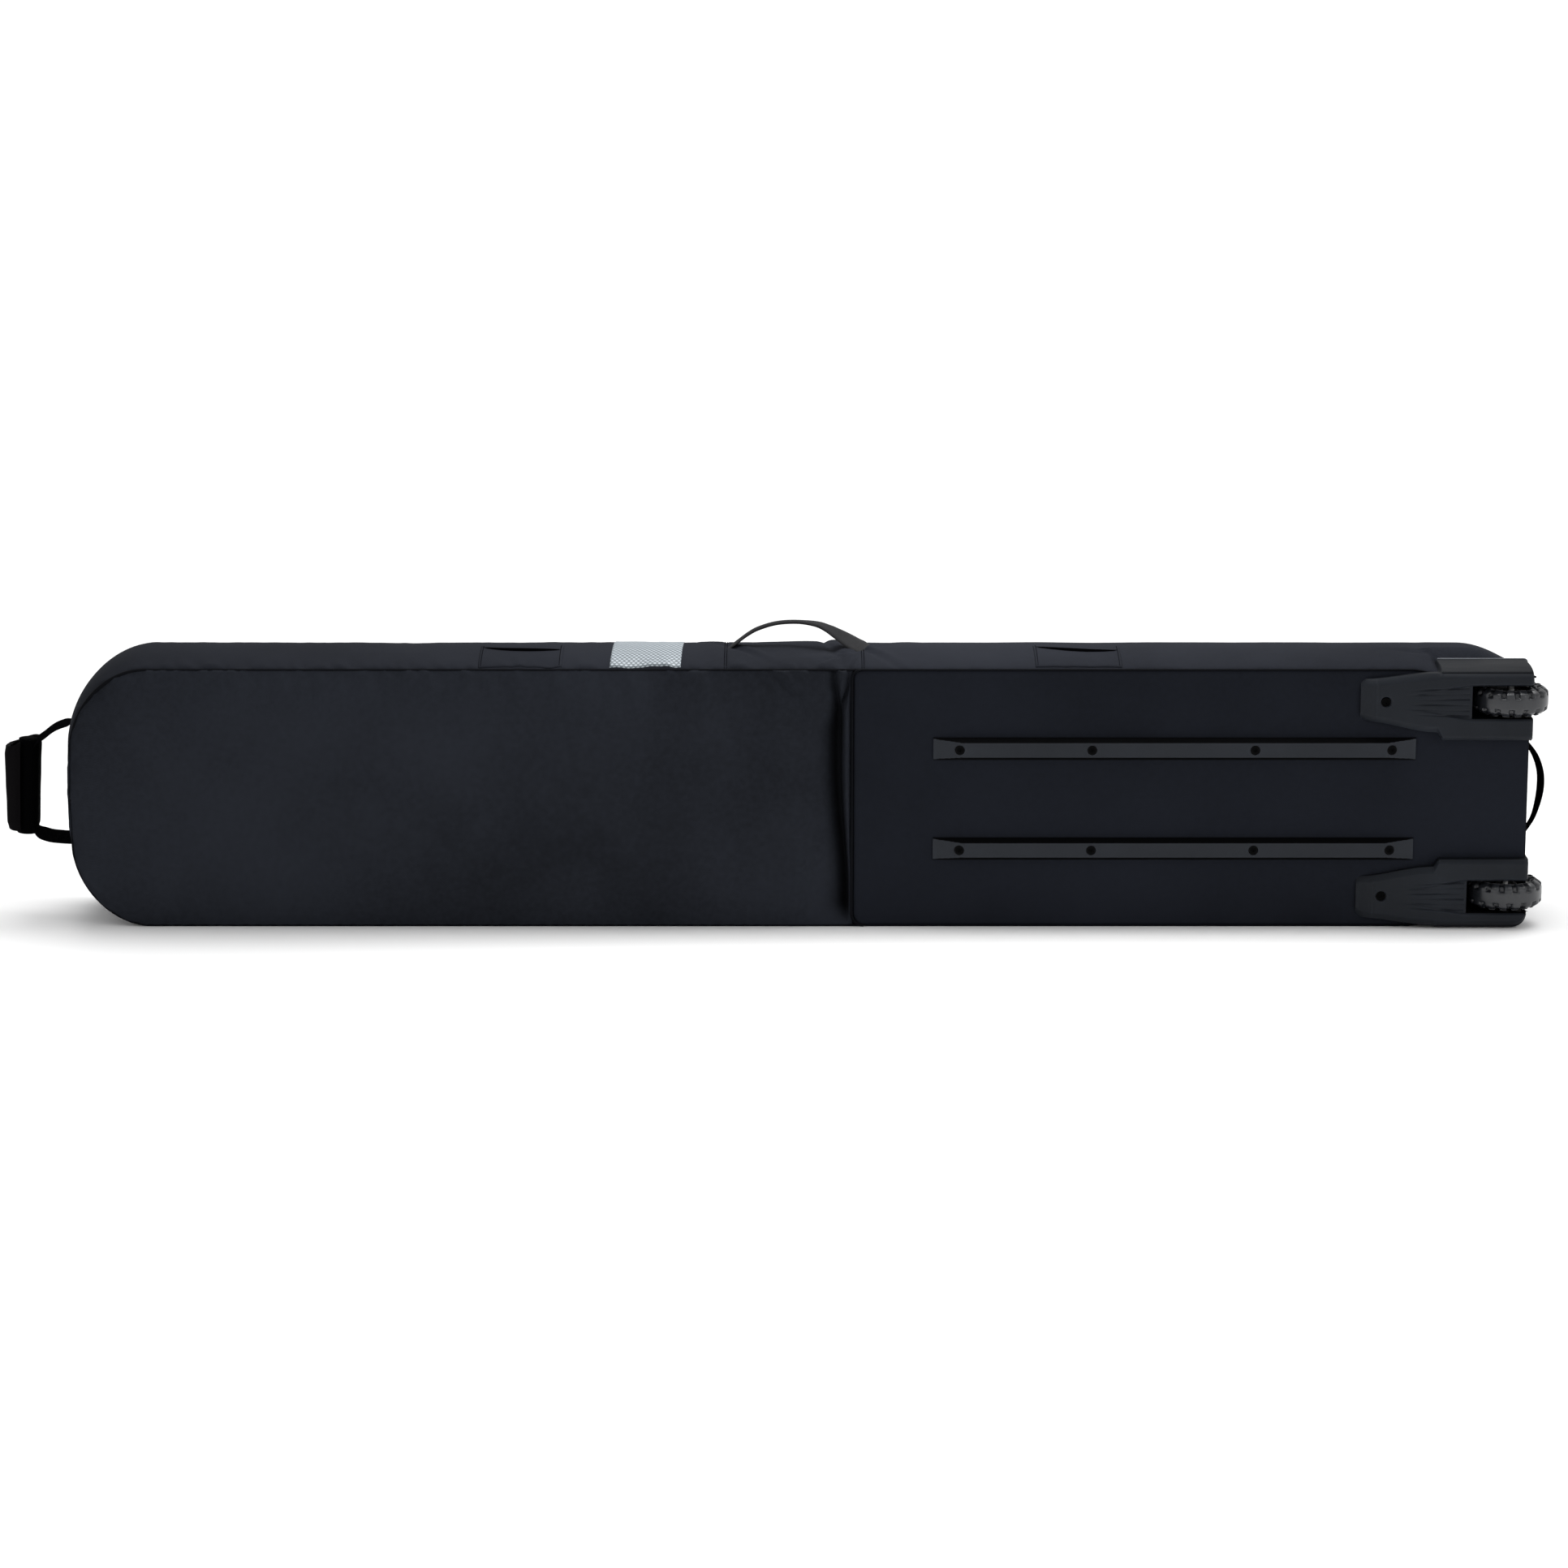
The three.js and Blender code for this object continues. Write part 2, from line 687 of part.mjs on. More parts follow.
function wheels() {
  const bearingOffset = 1.6 + BEARING_WIDTH / 2 + GAP;
  for (const { name, z } of sides(WHEEL_OFFSET_Z)) {
    piece(`tyre_${name}`, tyre(z), "tyre");
    piece(`wheel_hub_${name}`, hub(z), "hub");
    piece(`bearing_${name}_outer`, bearing(z + bearingOffset), "steel");
    piece(`bearing_${name}_inner`, bearing(z - bearingOffset), "steel");
  }
}

// ---------------------------------------------------------------- lid and zip

function lidAndZip() {
  const back = HALF_DEPTH;
  const cutAbove = HINGE_INSET - 1;
  const depth = [back - FABRIC - 1, back + 1];
  const rimPlate = plate(outline(FABRIC + GAP), back - FABRIC, back);
  const rimHole = plate(outline(RIM, HINGE_INSET - GAP - 0.1, RIM, 0), ...depth);
  piece("back_rim", cut(rimPlate, rimHole), "gussetFabric");

  // Each tape is a U that runs down the nose, along the lower side and up the tail.
  const tapeLow = back - TAPE - 1.5;
  const tape = (inset) => {
    const outer = plate(outline(inset, HINGE_INSET, inset, 0), tapeLow, tapeLow + TAPE);
    const edge = inset + TAPE_WIDTH;
    return cut(outer, plate(outline(edge, cutAbove, edge, 0), ...depth));
  };
  const lidTapeInset = RIM + GAP + TAPE_WIDTH + 2 * GAP;
  piece("zip_tape_body", tape(RIM + GAP), "zip");
  piece("zip_tape_lid", tape(lidTapeInset), "zip");

  const lidInset = lidTapeInset + TAPE_WIDTH + GAP;
  const lid = plate(outline(lidInset, HINGE_INSET, lidInset, 0), back - FABRIC, back);
  piece("lid_panel", lid, "lidFabric");

  const zipZ = RIM + GAP + TAPE_WIDTH + GAP;
  zipSlider("nose", -12, -1, zipZ, tapeLow + TAPE);
  zipSlider("tail", 12, 1, zipZ, tapeLow + TAPE);
}

// A slider with a bridge, and a pull whose cross bar turns under the bridge. The pull lies
// flat along the zip, pointing the way that the slider closes.
function zipSlider(name, x, side, z, tapeFace) {
  const crown = tapeFace + GAP + 4.6;
  const shell = box([x - 7, tapeFace + GAP, z - 5.5], [x + 7, crown, z + 5.5]);
  const bridge = cut(
    box([x - 6, crown - 1, z - 1.5], [x + 6, crown + 4.4, z + 1.5]),
    box([x - 4.2, crown, z - 3], [x + 4.2, crown + 2.9, z + 3]),
  );
  piece(`zip_slider_${name}`, join(shell, bridge), "screw");

  const barY = crown + 1.5;
  const bar = cylinderZ(0.9, x, barY, z - 3.8, z + 3.8, 10);
  const reach = (from, to) => [Math.min(x + side * from, x + side * to), Math.max(x + side * from, x + side * to)];
  const plateBetween = (from, to, lowZ, highZ) => {
    const [lowX, highX] = reach(from, to);
    return box([lowX, barY - 0.9, lowZ], [highX, barY + 0.9, highZ]);
  };
  const arms = [-1, 1].map((half) => {
    const near = z + half * 2.1;
    const far = z + half * 3.8;
    return plateBetween(0, 9, Math.min(near, far), Math.max(near, far));
  });
  const tab = plateBetween(8, 30, z - 4.5, z + 4.5);
  piece(`zip_pull_${name}`, join(bar, ...arms, tab), "screw");
}

// ---------------------------------------------------------------- handles

// Flat webbing along a smooth curve in X and Z, its width along Y.
function webbingAlong(points, width, thickness, steps) {
  const curve = new THREE.CatmullRomCurve3(points.map(([x, z]) => new THREE.Vector3(x, 0, z)));
  const rings = [];
  for (let i = 0; i <= steps; i += 1) {
    const centre = curve.getPoint(i / steps);
    const tangent = curve.getTangent(i / steps);
    const normal = new THREE.Vector3(-tangent.z, 0, tangent.x).multiplyScalar(thickness / 2);
    const across = new THREE.Vector3(0, width / 2, 0);
    rings.push([
      centre.clone().sub(across).add(normal),
      centre.clone().add(across).add(normal),
      centre.clone().add(across).sub(normal),
      centre.clone().sub(across).sub(normal),
    ]);
  }
  return loft(rings);
}

const CARRY_HALF_SPAN = 75;
const CARRY_AXIS_Z = HEIGHT + TOP_DOME + 8;

function carryHandle() {
  const apex = 342;
  const points = [-1, -0.72, -0.36, 0, 0.36, 0.72, 1].map((t) => [
    t * CARRY_HALF_SPAN,
    CARRY_AXIS_Z + (apex - CARRY_AXIS_Z) * (1 - t ** 2),
  ]);
  piece("carry_handle", webbingAlong(points, 12, 3, 16), "webbing");

  const foot = HEIGHT + TOP_DOME + GAP;
  for (const [name, side] of [["nose", -1], ["tail", 1]]) {
    const near = side * (CARRY_HALF_SPAN + 2.5);
    const far = side * (CARRY_HALF_SPAN + 24);
    const wedge = [-12, 12].map((y) => [
      new THREE.Vector3(near, y, foot),
      new THREE.Vector3(far, y, foot),
      new THREE.Vector3(far, y, foot + 1.5),
      new THREE.Vector3(near, y, CARRY_AXIS_Z + 2),
    ]);
    piece(`carry_handle_anchor_${name}`, loft(wedge), "gussetFabric");
  }
}

const NOSE_HANDLE_X = NOSE_X - 22; // the line that the nose handle swings about
const NOSE_HANDLE_LOW_Z = 86;
const NOSE_HANDLE_HIGH_Z = 221;

function noseHandle() {
  const gripX = NOSE_HANDLE_X - 44;
  const gripLow = 102;
  const gripHigh = 203;
  const points = [
    [NOSE_HANDLE_X, NOSE_HANDLE_LOW_Z],
    [NOSE_HANDLE_X - 14, NOSE_HANDLE_LOW_Z + 2],
    [gripX + 6, NOSE_HANDLE_LOW_Z + 7],
    [gripX, gripLow],
    [gripX, (gripLow + gripHigh) / 2],
    [gripX, gripHigh],
    [gripX + 6, NOSE_HANDLE_HIGH_Z - 8],
    [NOSE_HANDLE_X - 14, NOSE_HANDLE_HIGH_Z - 1],
    [NOSE_HANDLE_X, NOSE_HANDLE_HIGH_Z],
  ];
  piece("nose_handle_webbing", webbingAlong(points, WEBBING_WIDTH, WEBBING, 24), "webbing");

  const grip = new THREE.Shape();
  const halfX = 18;
  const halfY = 19;
  grip.absellipse(gripX, 0, halfX, halfY, 0, 2 * Math.PI, false, 0);
  const sleeve = new THREE.ExtrudeGeometry(grip, {
    depth: gripHigh - gripLow - 8,
    bevelEnabled: false,
    curveSegments: 10,
  }).translate(0, 0, gripLow + 4);
  const channelX = WEBBING / 2 + 1.5;
  const channelY = WEBBING_WIDTH / 2 + GAP;
  const channel = box([gripX - channelX, -channelY, 0], [gripX + channelX, channelY, HEIGHT]);
  piece("nose_handle_grip", cut(sleeve, channel), "gripFoam");

  // Short sewn tabs, one just above the upper strap's end and one just below the lower one's.
  for (const [name, z, side] of [["upper", NOSE_HANDLE_HIGH_Z, 1], ["lower", NOSE_HANDLE_LOW_Z, -1]]) {
    const near = z + side * (WEBBING / 2 + GAP);
    const far = near + side * WEBBING;
    const noseCrest = NOSE_X - TOP_DOME;
    const tab = box(
      [NOSE_HANDLE_X - 10, -WEBBING_WIDTH / 2, Math.min(near, far)],
      [noseCrest - GAP, WEBBING_WIDTH / 2, Math.max(near, far)],
    );
    piece(`nose_handle_tab_${name}`, tab, "webbing");
  }
}

const TAIL_HANDLE_X = TAIL_X + 6; // the line that the tail handle swings about
const TAIL_HANDLE_LOW_Z = 92;
const TAIL_HANDLE_HIGH_Z = 203;

function tailHandle() {
  const width = 20;
  const crest = 862;
  const points = [
    [TAIL_HANDLE_X, TAIL_HANDLE_LOW_Z],
    [crest - 8, TAIL_HANDLE_LOW_Z + 22],
    [crest - 1, MID_Z - 8],
    [crest - 1.5, MID_Z + 18],
    [crest - 9, TAIL_HANDLE_HIGH_Z - 14],
    [TAIL_HANDLE_X, TAIL_HANDLE_HIGH_Z],
  ];
  piece("tail_handle", webbingAlong(points, width, WEBBING, 16), "webbing");
  for (const [name, z, side] of [["upper", TAIL_HANDLE_HIGH_Z, 1], ["lower", TAIL_HANDLE_LOW_Z, -1]]) {
    const near = z + side * 1.5;
    const far = z + side * 13;
    const tab = box(
      [TAIL_X + GAP, -width / 2, Math.min(near, far)],
      [TAIL_X + GAP + WEBBING, width / 2, Math.max(near, far)],
    );
    piece(`tail_handle_tab_${name}`, tab, "webbing");
  }
}

// ---------------------------------------------------------------- inside

// Two straps that hold the board down, lying flat against the inside of the front panels.
function tieDownStraps() {
  const halfWidth = 19;
  const layer = -HALF_DEPTH + 13;
  for (const [name, x] of [["nose", -420], ["tail", 430]]) {
    const strap = box(
      [x - halfWidth, layer, FABRIC + 2],
      [x + halfWidth, layer + WEBBING, HEIGHT - FABRIC - 2],
    );
    piece(`tie_down_strap_${name}`, strap, "webbing");
    const low = layer + WEBBING + GAP;
    const frame = box([x - 27, low, MID_Z - 32], [x + 27, low + 5, MID_Z + 32]);
    const slots = [-20, 20].map((z) => box([x - 20, 0 - HALF_DEPTH, MID_Z + z - 3], [x + 20, 0, MID_Z + z + 3]));
    piece(`tie_down_buckle_${name}`, cut(frame, ...slots), "hub");
  }
}

gussets();
gussetPatches();
frontPanels();
skidRails();
wheelHousings();
wheels();
lidAndZip();
carryHandle();
noseHandle();
tailHandle();
tieDownStraps();

export default bag;
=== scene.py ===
import math

import bmesh
import bpy
import numpy as np
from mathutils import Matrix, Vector, noise

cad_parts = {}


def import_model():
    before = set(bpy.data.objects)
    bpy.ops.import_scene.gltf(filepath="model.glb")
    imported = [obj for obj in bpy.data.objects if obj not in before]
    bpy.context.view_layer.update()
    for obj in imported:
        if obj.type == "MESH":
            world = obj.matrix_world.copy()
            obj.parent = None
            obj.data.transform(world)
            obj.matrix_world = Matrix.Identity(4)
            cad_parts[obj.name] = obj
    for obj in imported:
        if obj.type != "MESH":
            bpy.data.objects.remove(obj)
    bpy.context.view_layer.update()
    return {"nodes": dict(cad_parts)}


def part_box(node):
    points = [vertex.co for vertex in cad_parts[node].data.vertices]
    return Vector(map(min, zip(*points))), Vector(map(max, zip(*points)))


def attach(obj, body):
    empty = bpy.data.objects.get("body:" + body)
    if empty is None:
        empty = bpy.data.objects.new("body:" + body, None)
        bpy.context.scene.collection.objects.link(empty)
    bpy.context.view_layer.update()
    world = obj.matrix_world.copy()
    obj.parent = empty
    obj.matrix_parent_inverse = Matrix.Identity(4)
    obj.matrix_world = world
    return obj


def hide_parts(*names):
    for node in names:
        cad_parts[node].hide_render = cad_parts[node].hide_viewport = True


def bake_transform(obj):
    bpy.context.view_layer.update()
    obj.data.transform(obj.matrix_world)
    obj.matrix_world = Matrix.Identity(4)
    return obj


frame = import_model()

MM = 0.001

# ------------------------------------------------------------------ places, from the frame

SOFT_LOW, SOFT_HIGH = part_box("soft_panel")
NOSE_LOW, NOSE_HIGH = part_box("nose_gusset")
TAIL_LOW, TAIL_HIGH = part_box("tail_panel")
PIPING_LOW, PIPING_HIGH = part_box("base_piping")

PANEL_INSET = SOFT_LOW.z                  # from the seam in to the edge of a CAD panel
NOSE_X = SOFT_LOW.x - PANEL_INSET         # seam line at the nose
TAIL_X = TAIL_HIGH.x                      # outer face of the tail panel
TOP_Z = SOFT_HIGH.z + PANEL_INSET         # seam line of the upper gusset
MID_Z = TOP_Z / 2
FRONT_Y = NOSE_LOW.y                      # wheel side
BACK_Y = NOSE_HIGH.y                      # lid side
HALF_DEPTH = (BACK_Y - FRONT_Y) / 2
CREST = NOSE_HIGH.z - TOP_Z + 4 * MM      # how far the upper gusset is domed
BASE_X = (PIPING_LOW.x + PIPING_HIGH.x) / 2

NOSE_CORNER = (88 * MM, 97 * MM)          # size of the nose corners along X and Z
NOSE_POWER = 1.85
NOSE_BOW = 1.5 * MM                       # how far the nose bows out between its corners
TAIL_FRONT_CORNER = (14 * MM, 14 * MM)
TAIL_BACK_CORNER = (70 * MM, 23 * MM)
TAIL_BACK_POWER = 1.5
LEAST_CORNER = 4 * MM
TAIL_STEP = 4 * MM                        # the seams draw in beside the wheel housings
STEP_LIMIT = 8 * MM                       # outlines further in than this have no such step
STEP_START_X = 0.698
STEP_END_X = 0.728
SEAM_INSET = 1.5 * MM                     # the seam lies this far inside the box's edge
NOSE_CREST = 6 * MM
FABRIC = 2.4 * MM                         # thickness of padded fabric and of moulded shells

WHEEL_Z_OFFSET = 0.113
WHEEL_UPPER_Z = MID_Z + WHEEL_Z_OFFSET
WHEEL_LOWER_Z = MID_Z - WHEEL_Z_OFFSET


def smooth(value, low, high):
    """Rises smoothly from 0 at low to 1 at high, for numbers and arrays."""
    t = np.clip((np.asarray(value, float) - low) / (high - low), 0.0, 1.0)
    return t * t * (3 - 2 * t)


def bump(value, centre, width):
    """A soft bell of height 1 about centre."""
    return np.exp(-(((np.asarray(value, float) - centre) / width) ** 2))


def quarter_round(edge, radius):
    """Height, from 0 to 1, of a rounded edge at a distance from that edge."""
    return np.sqrt(1 - (1 - np.clip(edge / radius, 0, 1)) ** 2)


def eased(count, ease):
    """Steps from 0 to 1, drawn closer together at both ends by ease."""
    even = np.linspace(0, 1, count)
    return ease * (0.5 - 0.5 * np.cos(math.pi * even)) + (1 - ease) * even


def stacked(x, y, z):
    """Points from three arrays or numbers that broadcast together."""
    return np.stack(np.broadcast_arrays(x, y, z), -1)


def noise_field(points, scale, seed=0.0):
    """Smooth noise at each point, from about -1 to 1; scale is the size of its lumps."""
    flat = np.asarray(points, float).reshape(-1, 3) / scale
    places = flat + np.array((seed, 2.3 * seed, -1.7 * seed))
    values = np.array([noise.noise(Vector(place)) for place in places])
    return values.reshape(np.asarray(points).shape[:-1])


def lengths_along(points):
    """Distance along a line of points from its first."""
    return np.concatenate([[0], np.cumsum(np.linalg.norm(np.diff(points, axis=0), axis=1))])


def point_at(line, lengths, distance):
    return np.array([np.interp(distance, lengths, line[:, k]) for k in range(3)])


# ------------------------------------------------------------------ camera, light and floor

FRAME_WIDTH = 1.795      # what the picture spans at the wheel side
DISTANCE = 5.3
ELEVATION = math.radians(12)
AIM = Vector((-0.0167, FRONT_Y, 0.168))
SENSOR = 36.0
WORLD_STRENGTH = 0.70
SUN_STRENGTH = 1.75
SUN_ANGLE = math.radians(50)
SUN_TRAVEL = (-0.15, -0.42, -1.0)   # the direction its light goes
FLOOR_SIZE = 160
AREA_LIGHTS = (                     # name, place, target, size, power
    ("top_box", (0.34, 0.10, 1.2), (0.32, 0, 0.3), (0.6, 0.4), 11),
    ("side_strip", (-2.4, -2.6, 1.3), (-0.2, 0, 0.15), (0.4, 1.2), 4),
    ("tail_strip", (2.2, -1.6, 1.0), (0.82, 0, 0.15), (0.25, 1.0), 7),
)


def add_object(name, data):
    obj = bpy.data.objects.new(name, data)
    bpy.context.scene.collection.objects.link(obj)
    return obj


def facing(direction):
    """Rotation that points a camera or a light along a direction."""
    return Vector(direction).to_track_quat("-Z", "Y").to_euler()


def add_camera():
    data = bpy.data.cameras.new("camera")
    data.sensor_width = SENSOR
    data.lens = SENSOR * DISTANCE / FRAME_WIDTH
    data.clip_end = 2 * FLOOR_SIZE
    camera = add_object("camera", data)
    back = Vector((0, -math.cos(ELEVATION), math.sin(ELEVATION)))
    camera.location = AIM + back * DISTANCE
    camera.rotation_euler = facing(-back)
    bpy.context.scene.camera = camera


def add_lighting():
    scene = bpy.context.scene
    scene.view_settings.view_transform = "Standard"
    world = bpy.data.worlds.new("studio")
    scene.world = world
    world.use_nodes = True
    background = world.node_tree.nodes["Background"]
    background.inputs["Color"].default_value = (1.0, 1.0, 1.0, 1.0)
    background.inputs["Strength"].default_value = WORLD_STRENGTH
    data = bpy.data.lights.new("broad_sun", "SUN")
    data.energy = SUN_STRENGTH
    data.angle = SUN_ANGLE
    add_object("broad_sun", data).rotation_euler = facing(SUN_TRAVEL)
    for name, place, target, size, power in AREA_LIGHTS:
        data = bpy.data.lights.new(name, "AREA")
        data.shape = "RECTANGLE"
        data.size, data.size_y = size
        data.energy = power
        light = add_object(name, data)
        light.location = place
        light.rotation_euler = facing(Vector(target) - Vector(place))


def add_floor():
    bpy.ops.mesh.primitive_plane_add(size=FLOOR_SIZE, location=(0, 0, 0))
    floor = bpy.context.active_object
    floor.name = "studio_floor"
    floor.data.materials.append(plain_material("floor_paint", (0.93, 0.93, 0.93), 0.9))


# ------------------------------------------------------------------ material helpers


class Nodes:
    """Short ways to add and join shader nodes in one material."""

    def __init__(self, name, roughness, metallic=0.0, specular=0.3):
        self.material = bpy.data.materials.new(name)
        self.material.use_nodes = True
        self.tree = self.material.node_tree
        self.shader = self.tree.nodes["Principled BSDF"]
        self.shader.inputs["Roughness"].default_value = roughness
        self.shader.inputs["Metallic"].default_value = metallic
        self.shader.inputs["Specular IOR Level"].default_value = specular

    def add(self, kind, **settings):
        node = self.tree.nodes.new(kind)
        for key, value in settings.items():
            if key in node.inputs:
                node.inputs[key].default_value = value
            else:
                setattr(node, key, value)
        return node

    def link(self, source, target):
        self.tree.links.new(source, target)

    def coordinates(self, kind="Object", scale=(1, 1, 1)):
        """Texture coordinates in metres, times scale."""
        where = self.add("ShaderNodeTexCoord")
        mapping = self.add("ShaderNodeMapping", Scale=scale)
        self.link(where.outputs[kind], mapping.inputs["Vector"])
        return mapping.outputs["Vector"]

    def split(self, vector):
        """X, Y and Z of a vector."""
        node = self.add("ShaderNodeSeparateXYZ")
        self.link(vector, node.inputs[0])
        return node.outputs

    def noise(self, vector, scale, detail=3.0, roughness=0.5):
        node = self.add("ShaderNodeTexNoise", Scale=scale, Detail=detail, Roughness=roughness)
        self.link(vector, node.inputs["Vector"])
        return node.outputs["Fac"]

    def math(self, operation, first, second=0.0, clamp=False):
        node = self.add("ShaderNodeMath", operation=operation, use_clamp=clamp)
        for socket, value in zip(node.inputs, (first, second)):
            if isinstance(value, (int, float)):
                socket.default_value = value
            else:
                self.link(value, socket)
        return node.outputs[0]

    def plus(self, first, second, share):
        """The first value with a share of the second."""
        return self.math("ADD", first, self.math("MULTIPLY", second, share))

    def blended(self, first, first_share, second, second_share):
        return self.plus(self.math("MULTIPLY", first, first_share), second, second_share)

    def ramp(self, factor, stops):
        node = self.add("ShaderNodeValToRGB")
        elements = node.color_ramp.elements
        while len(elements) < len(stops):
            elements.new(0.5)
        for element, (place, colour) in zip(elements, stops):
            element.position = place
            element.color = (*colour, 1.0)
        self.link(factor, node.inputs["Fac"])
        return node.outputs["Color"]

    def tones(self, factor, colour, *stops):
        """A ramp of one colour, darkened or lightened by a factor at each place."""
        shades = [(place, tuple(min(1.0, c * amount) for c in colour)) for place, amount in stops]
        return self.ramp(factor, shades)

    def range(self, factor, low, high, start=0.0, end=1.0):
        node = self.add("ShaderNodeMapRange")
        for key, value in zip(("From Min", "From Max", "To Min", "To Max"), (start, end, low, high)):
            node.inputs[key].default_value = value
        self.link(factor, node.inputs["Value"])
        return node.outputs["Result"]

    def bump(self, height, strength, distance, after=None):
        node = self.add("ShaderNodeBump", Strength=strength, Distance=distance)
        self.link(height, node.inputs["Height"])
        if after is not None:
            self.link(after, node.inputs["Normal"])
        return node.outputs["Normal"]

    def finish(self, colour, roughness=None, normal=None):
        """Joins the finished values to the shader."""
        for key, value in (("Base Color", colour), ("Roughness", roughness), ("Normal", normal)):
            if value is not None:
                self.link(value, self.shader.inputs[key])
        return self.material


def plain_material(name, colour, roughness):
    nodes = Nodes(name, roughness)
    patches = nodes.noise(nodes.coordinates(), 1.5)
    return nodes.finish(nodes.tones(patches, colour, (0.3, 0.99), (0.7, 1.0)))


def woven_material(
    name, colour, yarn=0.9 * MM, gloss=0.06, roughness=0.86, depth=0.12 * MM, sunk=None, contrast=1.0
):
    """Plain weave: over and under yarns in the two directions of the piece's own layout.
    sunk gives two depths between which the fabric grows darker with painted shade."""
    nodes = Nodes(name, roughness, specular=gloss)
    layout = nodes.split(nodes.coordinates("UV"))
    turns = [nodes.math("MULTIPLY", layout[k], math.pi / yarn) for k in (0, 1)]
    waves = [nodes.math("SINE", turn) for turn in turns]
    weave = nodes.math("MULTIPLY", waves[0], waves[1])
    lift = nodes.math("ABSOLUTE", weave)
    place = nodes.coordinates()
    broad = nodes.noise(place, 4.0, 4.0)
    fine = nodes.noise(place, 160.0, 2.0)
    tone = nodes.plus(nodes.blended(broad, 0.65, fine, 0.2), weave, 0.06)
    dark, light = 1 - 0.28 * contrast, 1 + 0.25 * contrast
    shown = nodes.tones(tone, colour, (0.28, dark), (0.45, 1.0), (0.68, light))
    if sunk is not None:
        # painted shade: the fabric is darkened the deeper it lies, for the shade in the nose fold
        shade = nodes.range(nodes.split(place)[1], 1.0, 0.22, *sunk)
        dimmed = nodes.add("ShaderNodeVectorMath", operation="SCALE")
        nodes.link(shown, dimmed.inputs[0])
        nodes.link(shade, dimmed.inputs["Scale"])
        shown = dimmed.outputs[0]
    rough = nodes.range(fine, roughness - 0.08, roughness + 0.08)
    woven = nodes.bump(lift, 0.5, depth)
    rumple = nodes.noise(place, 38.0, 5.0, 0.6)
    return nodes.finish(shown, rough, nodes.bump(rumple, 0.22, 1.2 * MM, after=woven))


def webbing_material(name, colour, pitch=1.7 * MM, rib_width=2.1 * MM):
    """Ribbed webbing: ribs across the width, each a twill row."""
    nodes = Nodes(name, 0.95, specular=0.0)
    layout = nodes.split(nodes.coordinates("UV"))
    along = nodes.math("MULTIPLY", layout[0], 2 * math.pi / pitch)
    across = nodes.math("MULTIPLY", layout[1], 2 * math.pi / rib_width)
    rib = nodes.math("SINE", across)
    row = nodes.math("SINE", nodes.plus(along, rib, 1.2))
    height = nodes.blended(rib, 0.5, row, 0.35)
    fuzz = nodes.noise(nodes.coordinates(), 220.0, 3.0)
    tone = nodes.plus(fuzz, height, 0.12)
    shown = nodes.tones(tone, colour, (0.3, 0.6), (0.7, 1.4))
    return nodes.finish(shown, nodes.range(fuzz, 0.78, 0.92), nodes.bump(height, 0.6, 0.25 * MM))


def moulded_material(
    name, colour, roughness=0.42, specular=0.45, grain=900.0, scuffs=0.5, contrast=1.0
):
    """Moulded plastic: fine spark texture, broad tone changes and pale scuffs on the edges."""
    nodes = Nodes(name, roughness, specular=specular)
    place = nodes.coordinates()
    broad = nodes.noise(place, 9.0, 3.0)
    fine = nodes.noise(place, grain, 2.0)
    rubbed = nodes.noise(nodes.coordinates(scale=(18, 140, 140)), 1.0, 5.0, 0.7)
    geometry = nodes.add("ShaderNodeNewGeometry")
    edge = nodes.range(geometry.outputs["Pointiness"], -6.4, 7.4)
    worn = nodes.math("MULTIPLY", nodes.math("MULTIPLY", edge, rubbed, clamp=True), scuffs, clamp=True)
    tone = nodes.blended(broad, 0.7, worn, 0.6)
    dark, light = 1 - 0.25 * contrast, 1 + 0.9 * contrast
    shown = nodes.tones(tone, colour, (0.2, dark), (0.5, 1.0), (0.95, light))
    rough = nodes.range(rubbed, roughness - 0.08, roughness + 0.12)
    return nodes.finish(shown, rough, nodes.bump(fine, 0.25, 0.12 * MM))


def metal_material(name, colour, roughness=0.3):
    """Ground metal, with fine lines along its length."""
    nodes = Nodes(name, roughness, metallic=1.0, specular=0.5)
    lines = nodes.noise(nodes.coordinates(scale=(60, 60, 900)), 3.0, 4.0)
    shown = nodes.tones(lines, colour, (0.3, 0.8), (0.7, 1.15))
    rough = nodes.range(lines, roughness - 0.08, roughness + 0.1)
    return nodes.finish(shown, rough, nodes.bump(lines, 0.12, 0.05 * MM))


def honeycomb_material(name, pitch=5.4 * MM):
    """Pale reflective film: small raised cells in a hexagonal net over fabric."""
    nodes = Nodes(name, 0.5, specular=0.5)
    layout = nodes.split(nodes.coordinates("UV"))
    rate = 2 * math.pi / (pitch * 0.87)
    waves = []
    for angle in np.radians((30, 90, 150)):
        along = nodes.math("MULTIPLY", layout[0], float(rate * np.cos(angle)))
        across = nodes.math("MULTIPLY", layout[1], float(rate * np.sin(angle)))
        waves.append(nodes.math("COSINE", nodes.math("ADD", along, across)))
    cells = nodes.math("ADD", nodes.math("ADD", waves[0], waves[1]), waves[2])
    net = nodes.math("SMOOTH_MAX", nodes.range(cells, 0.0, 1.0), 0.25)
    stops = [(0.26, (0.10, 0.12, 0.135)), (0.44, (0.26, 0.30, 0.33)), (0.9, (0.35, 0.39, 0.42))]
    return nodes.finish(nodes.ramp(net, stops), normal=nodes.bump(net, 0.6, 0.5 * MM))


MATERIALS = {}
# depths in the nose fold over which painted shade darkens the fabric
PAINTED_SHADE_DEPTHS = (FRONT_Y + 1.5 * MM, FRONT_Y + 17 * MM)


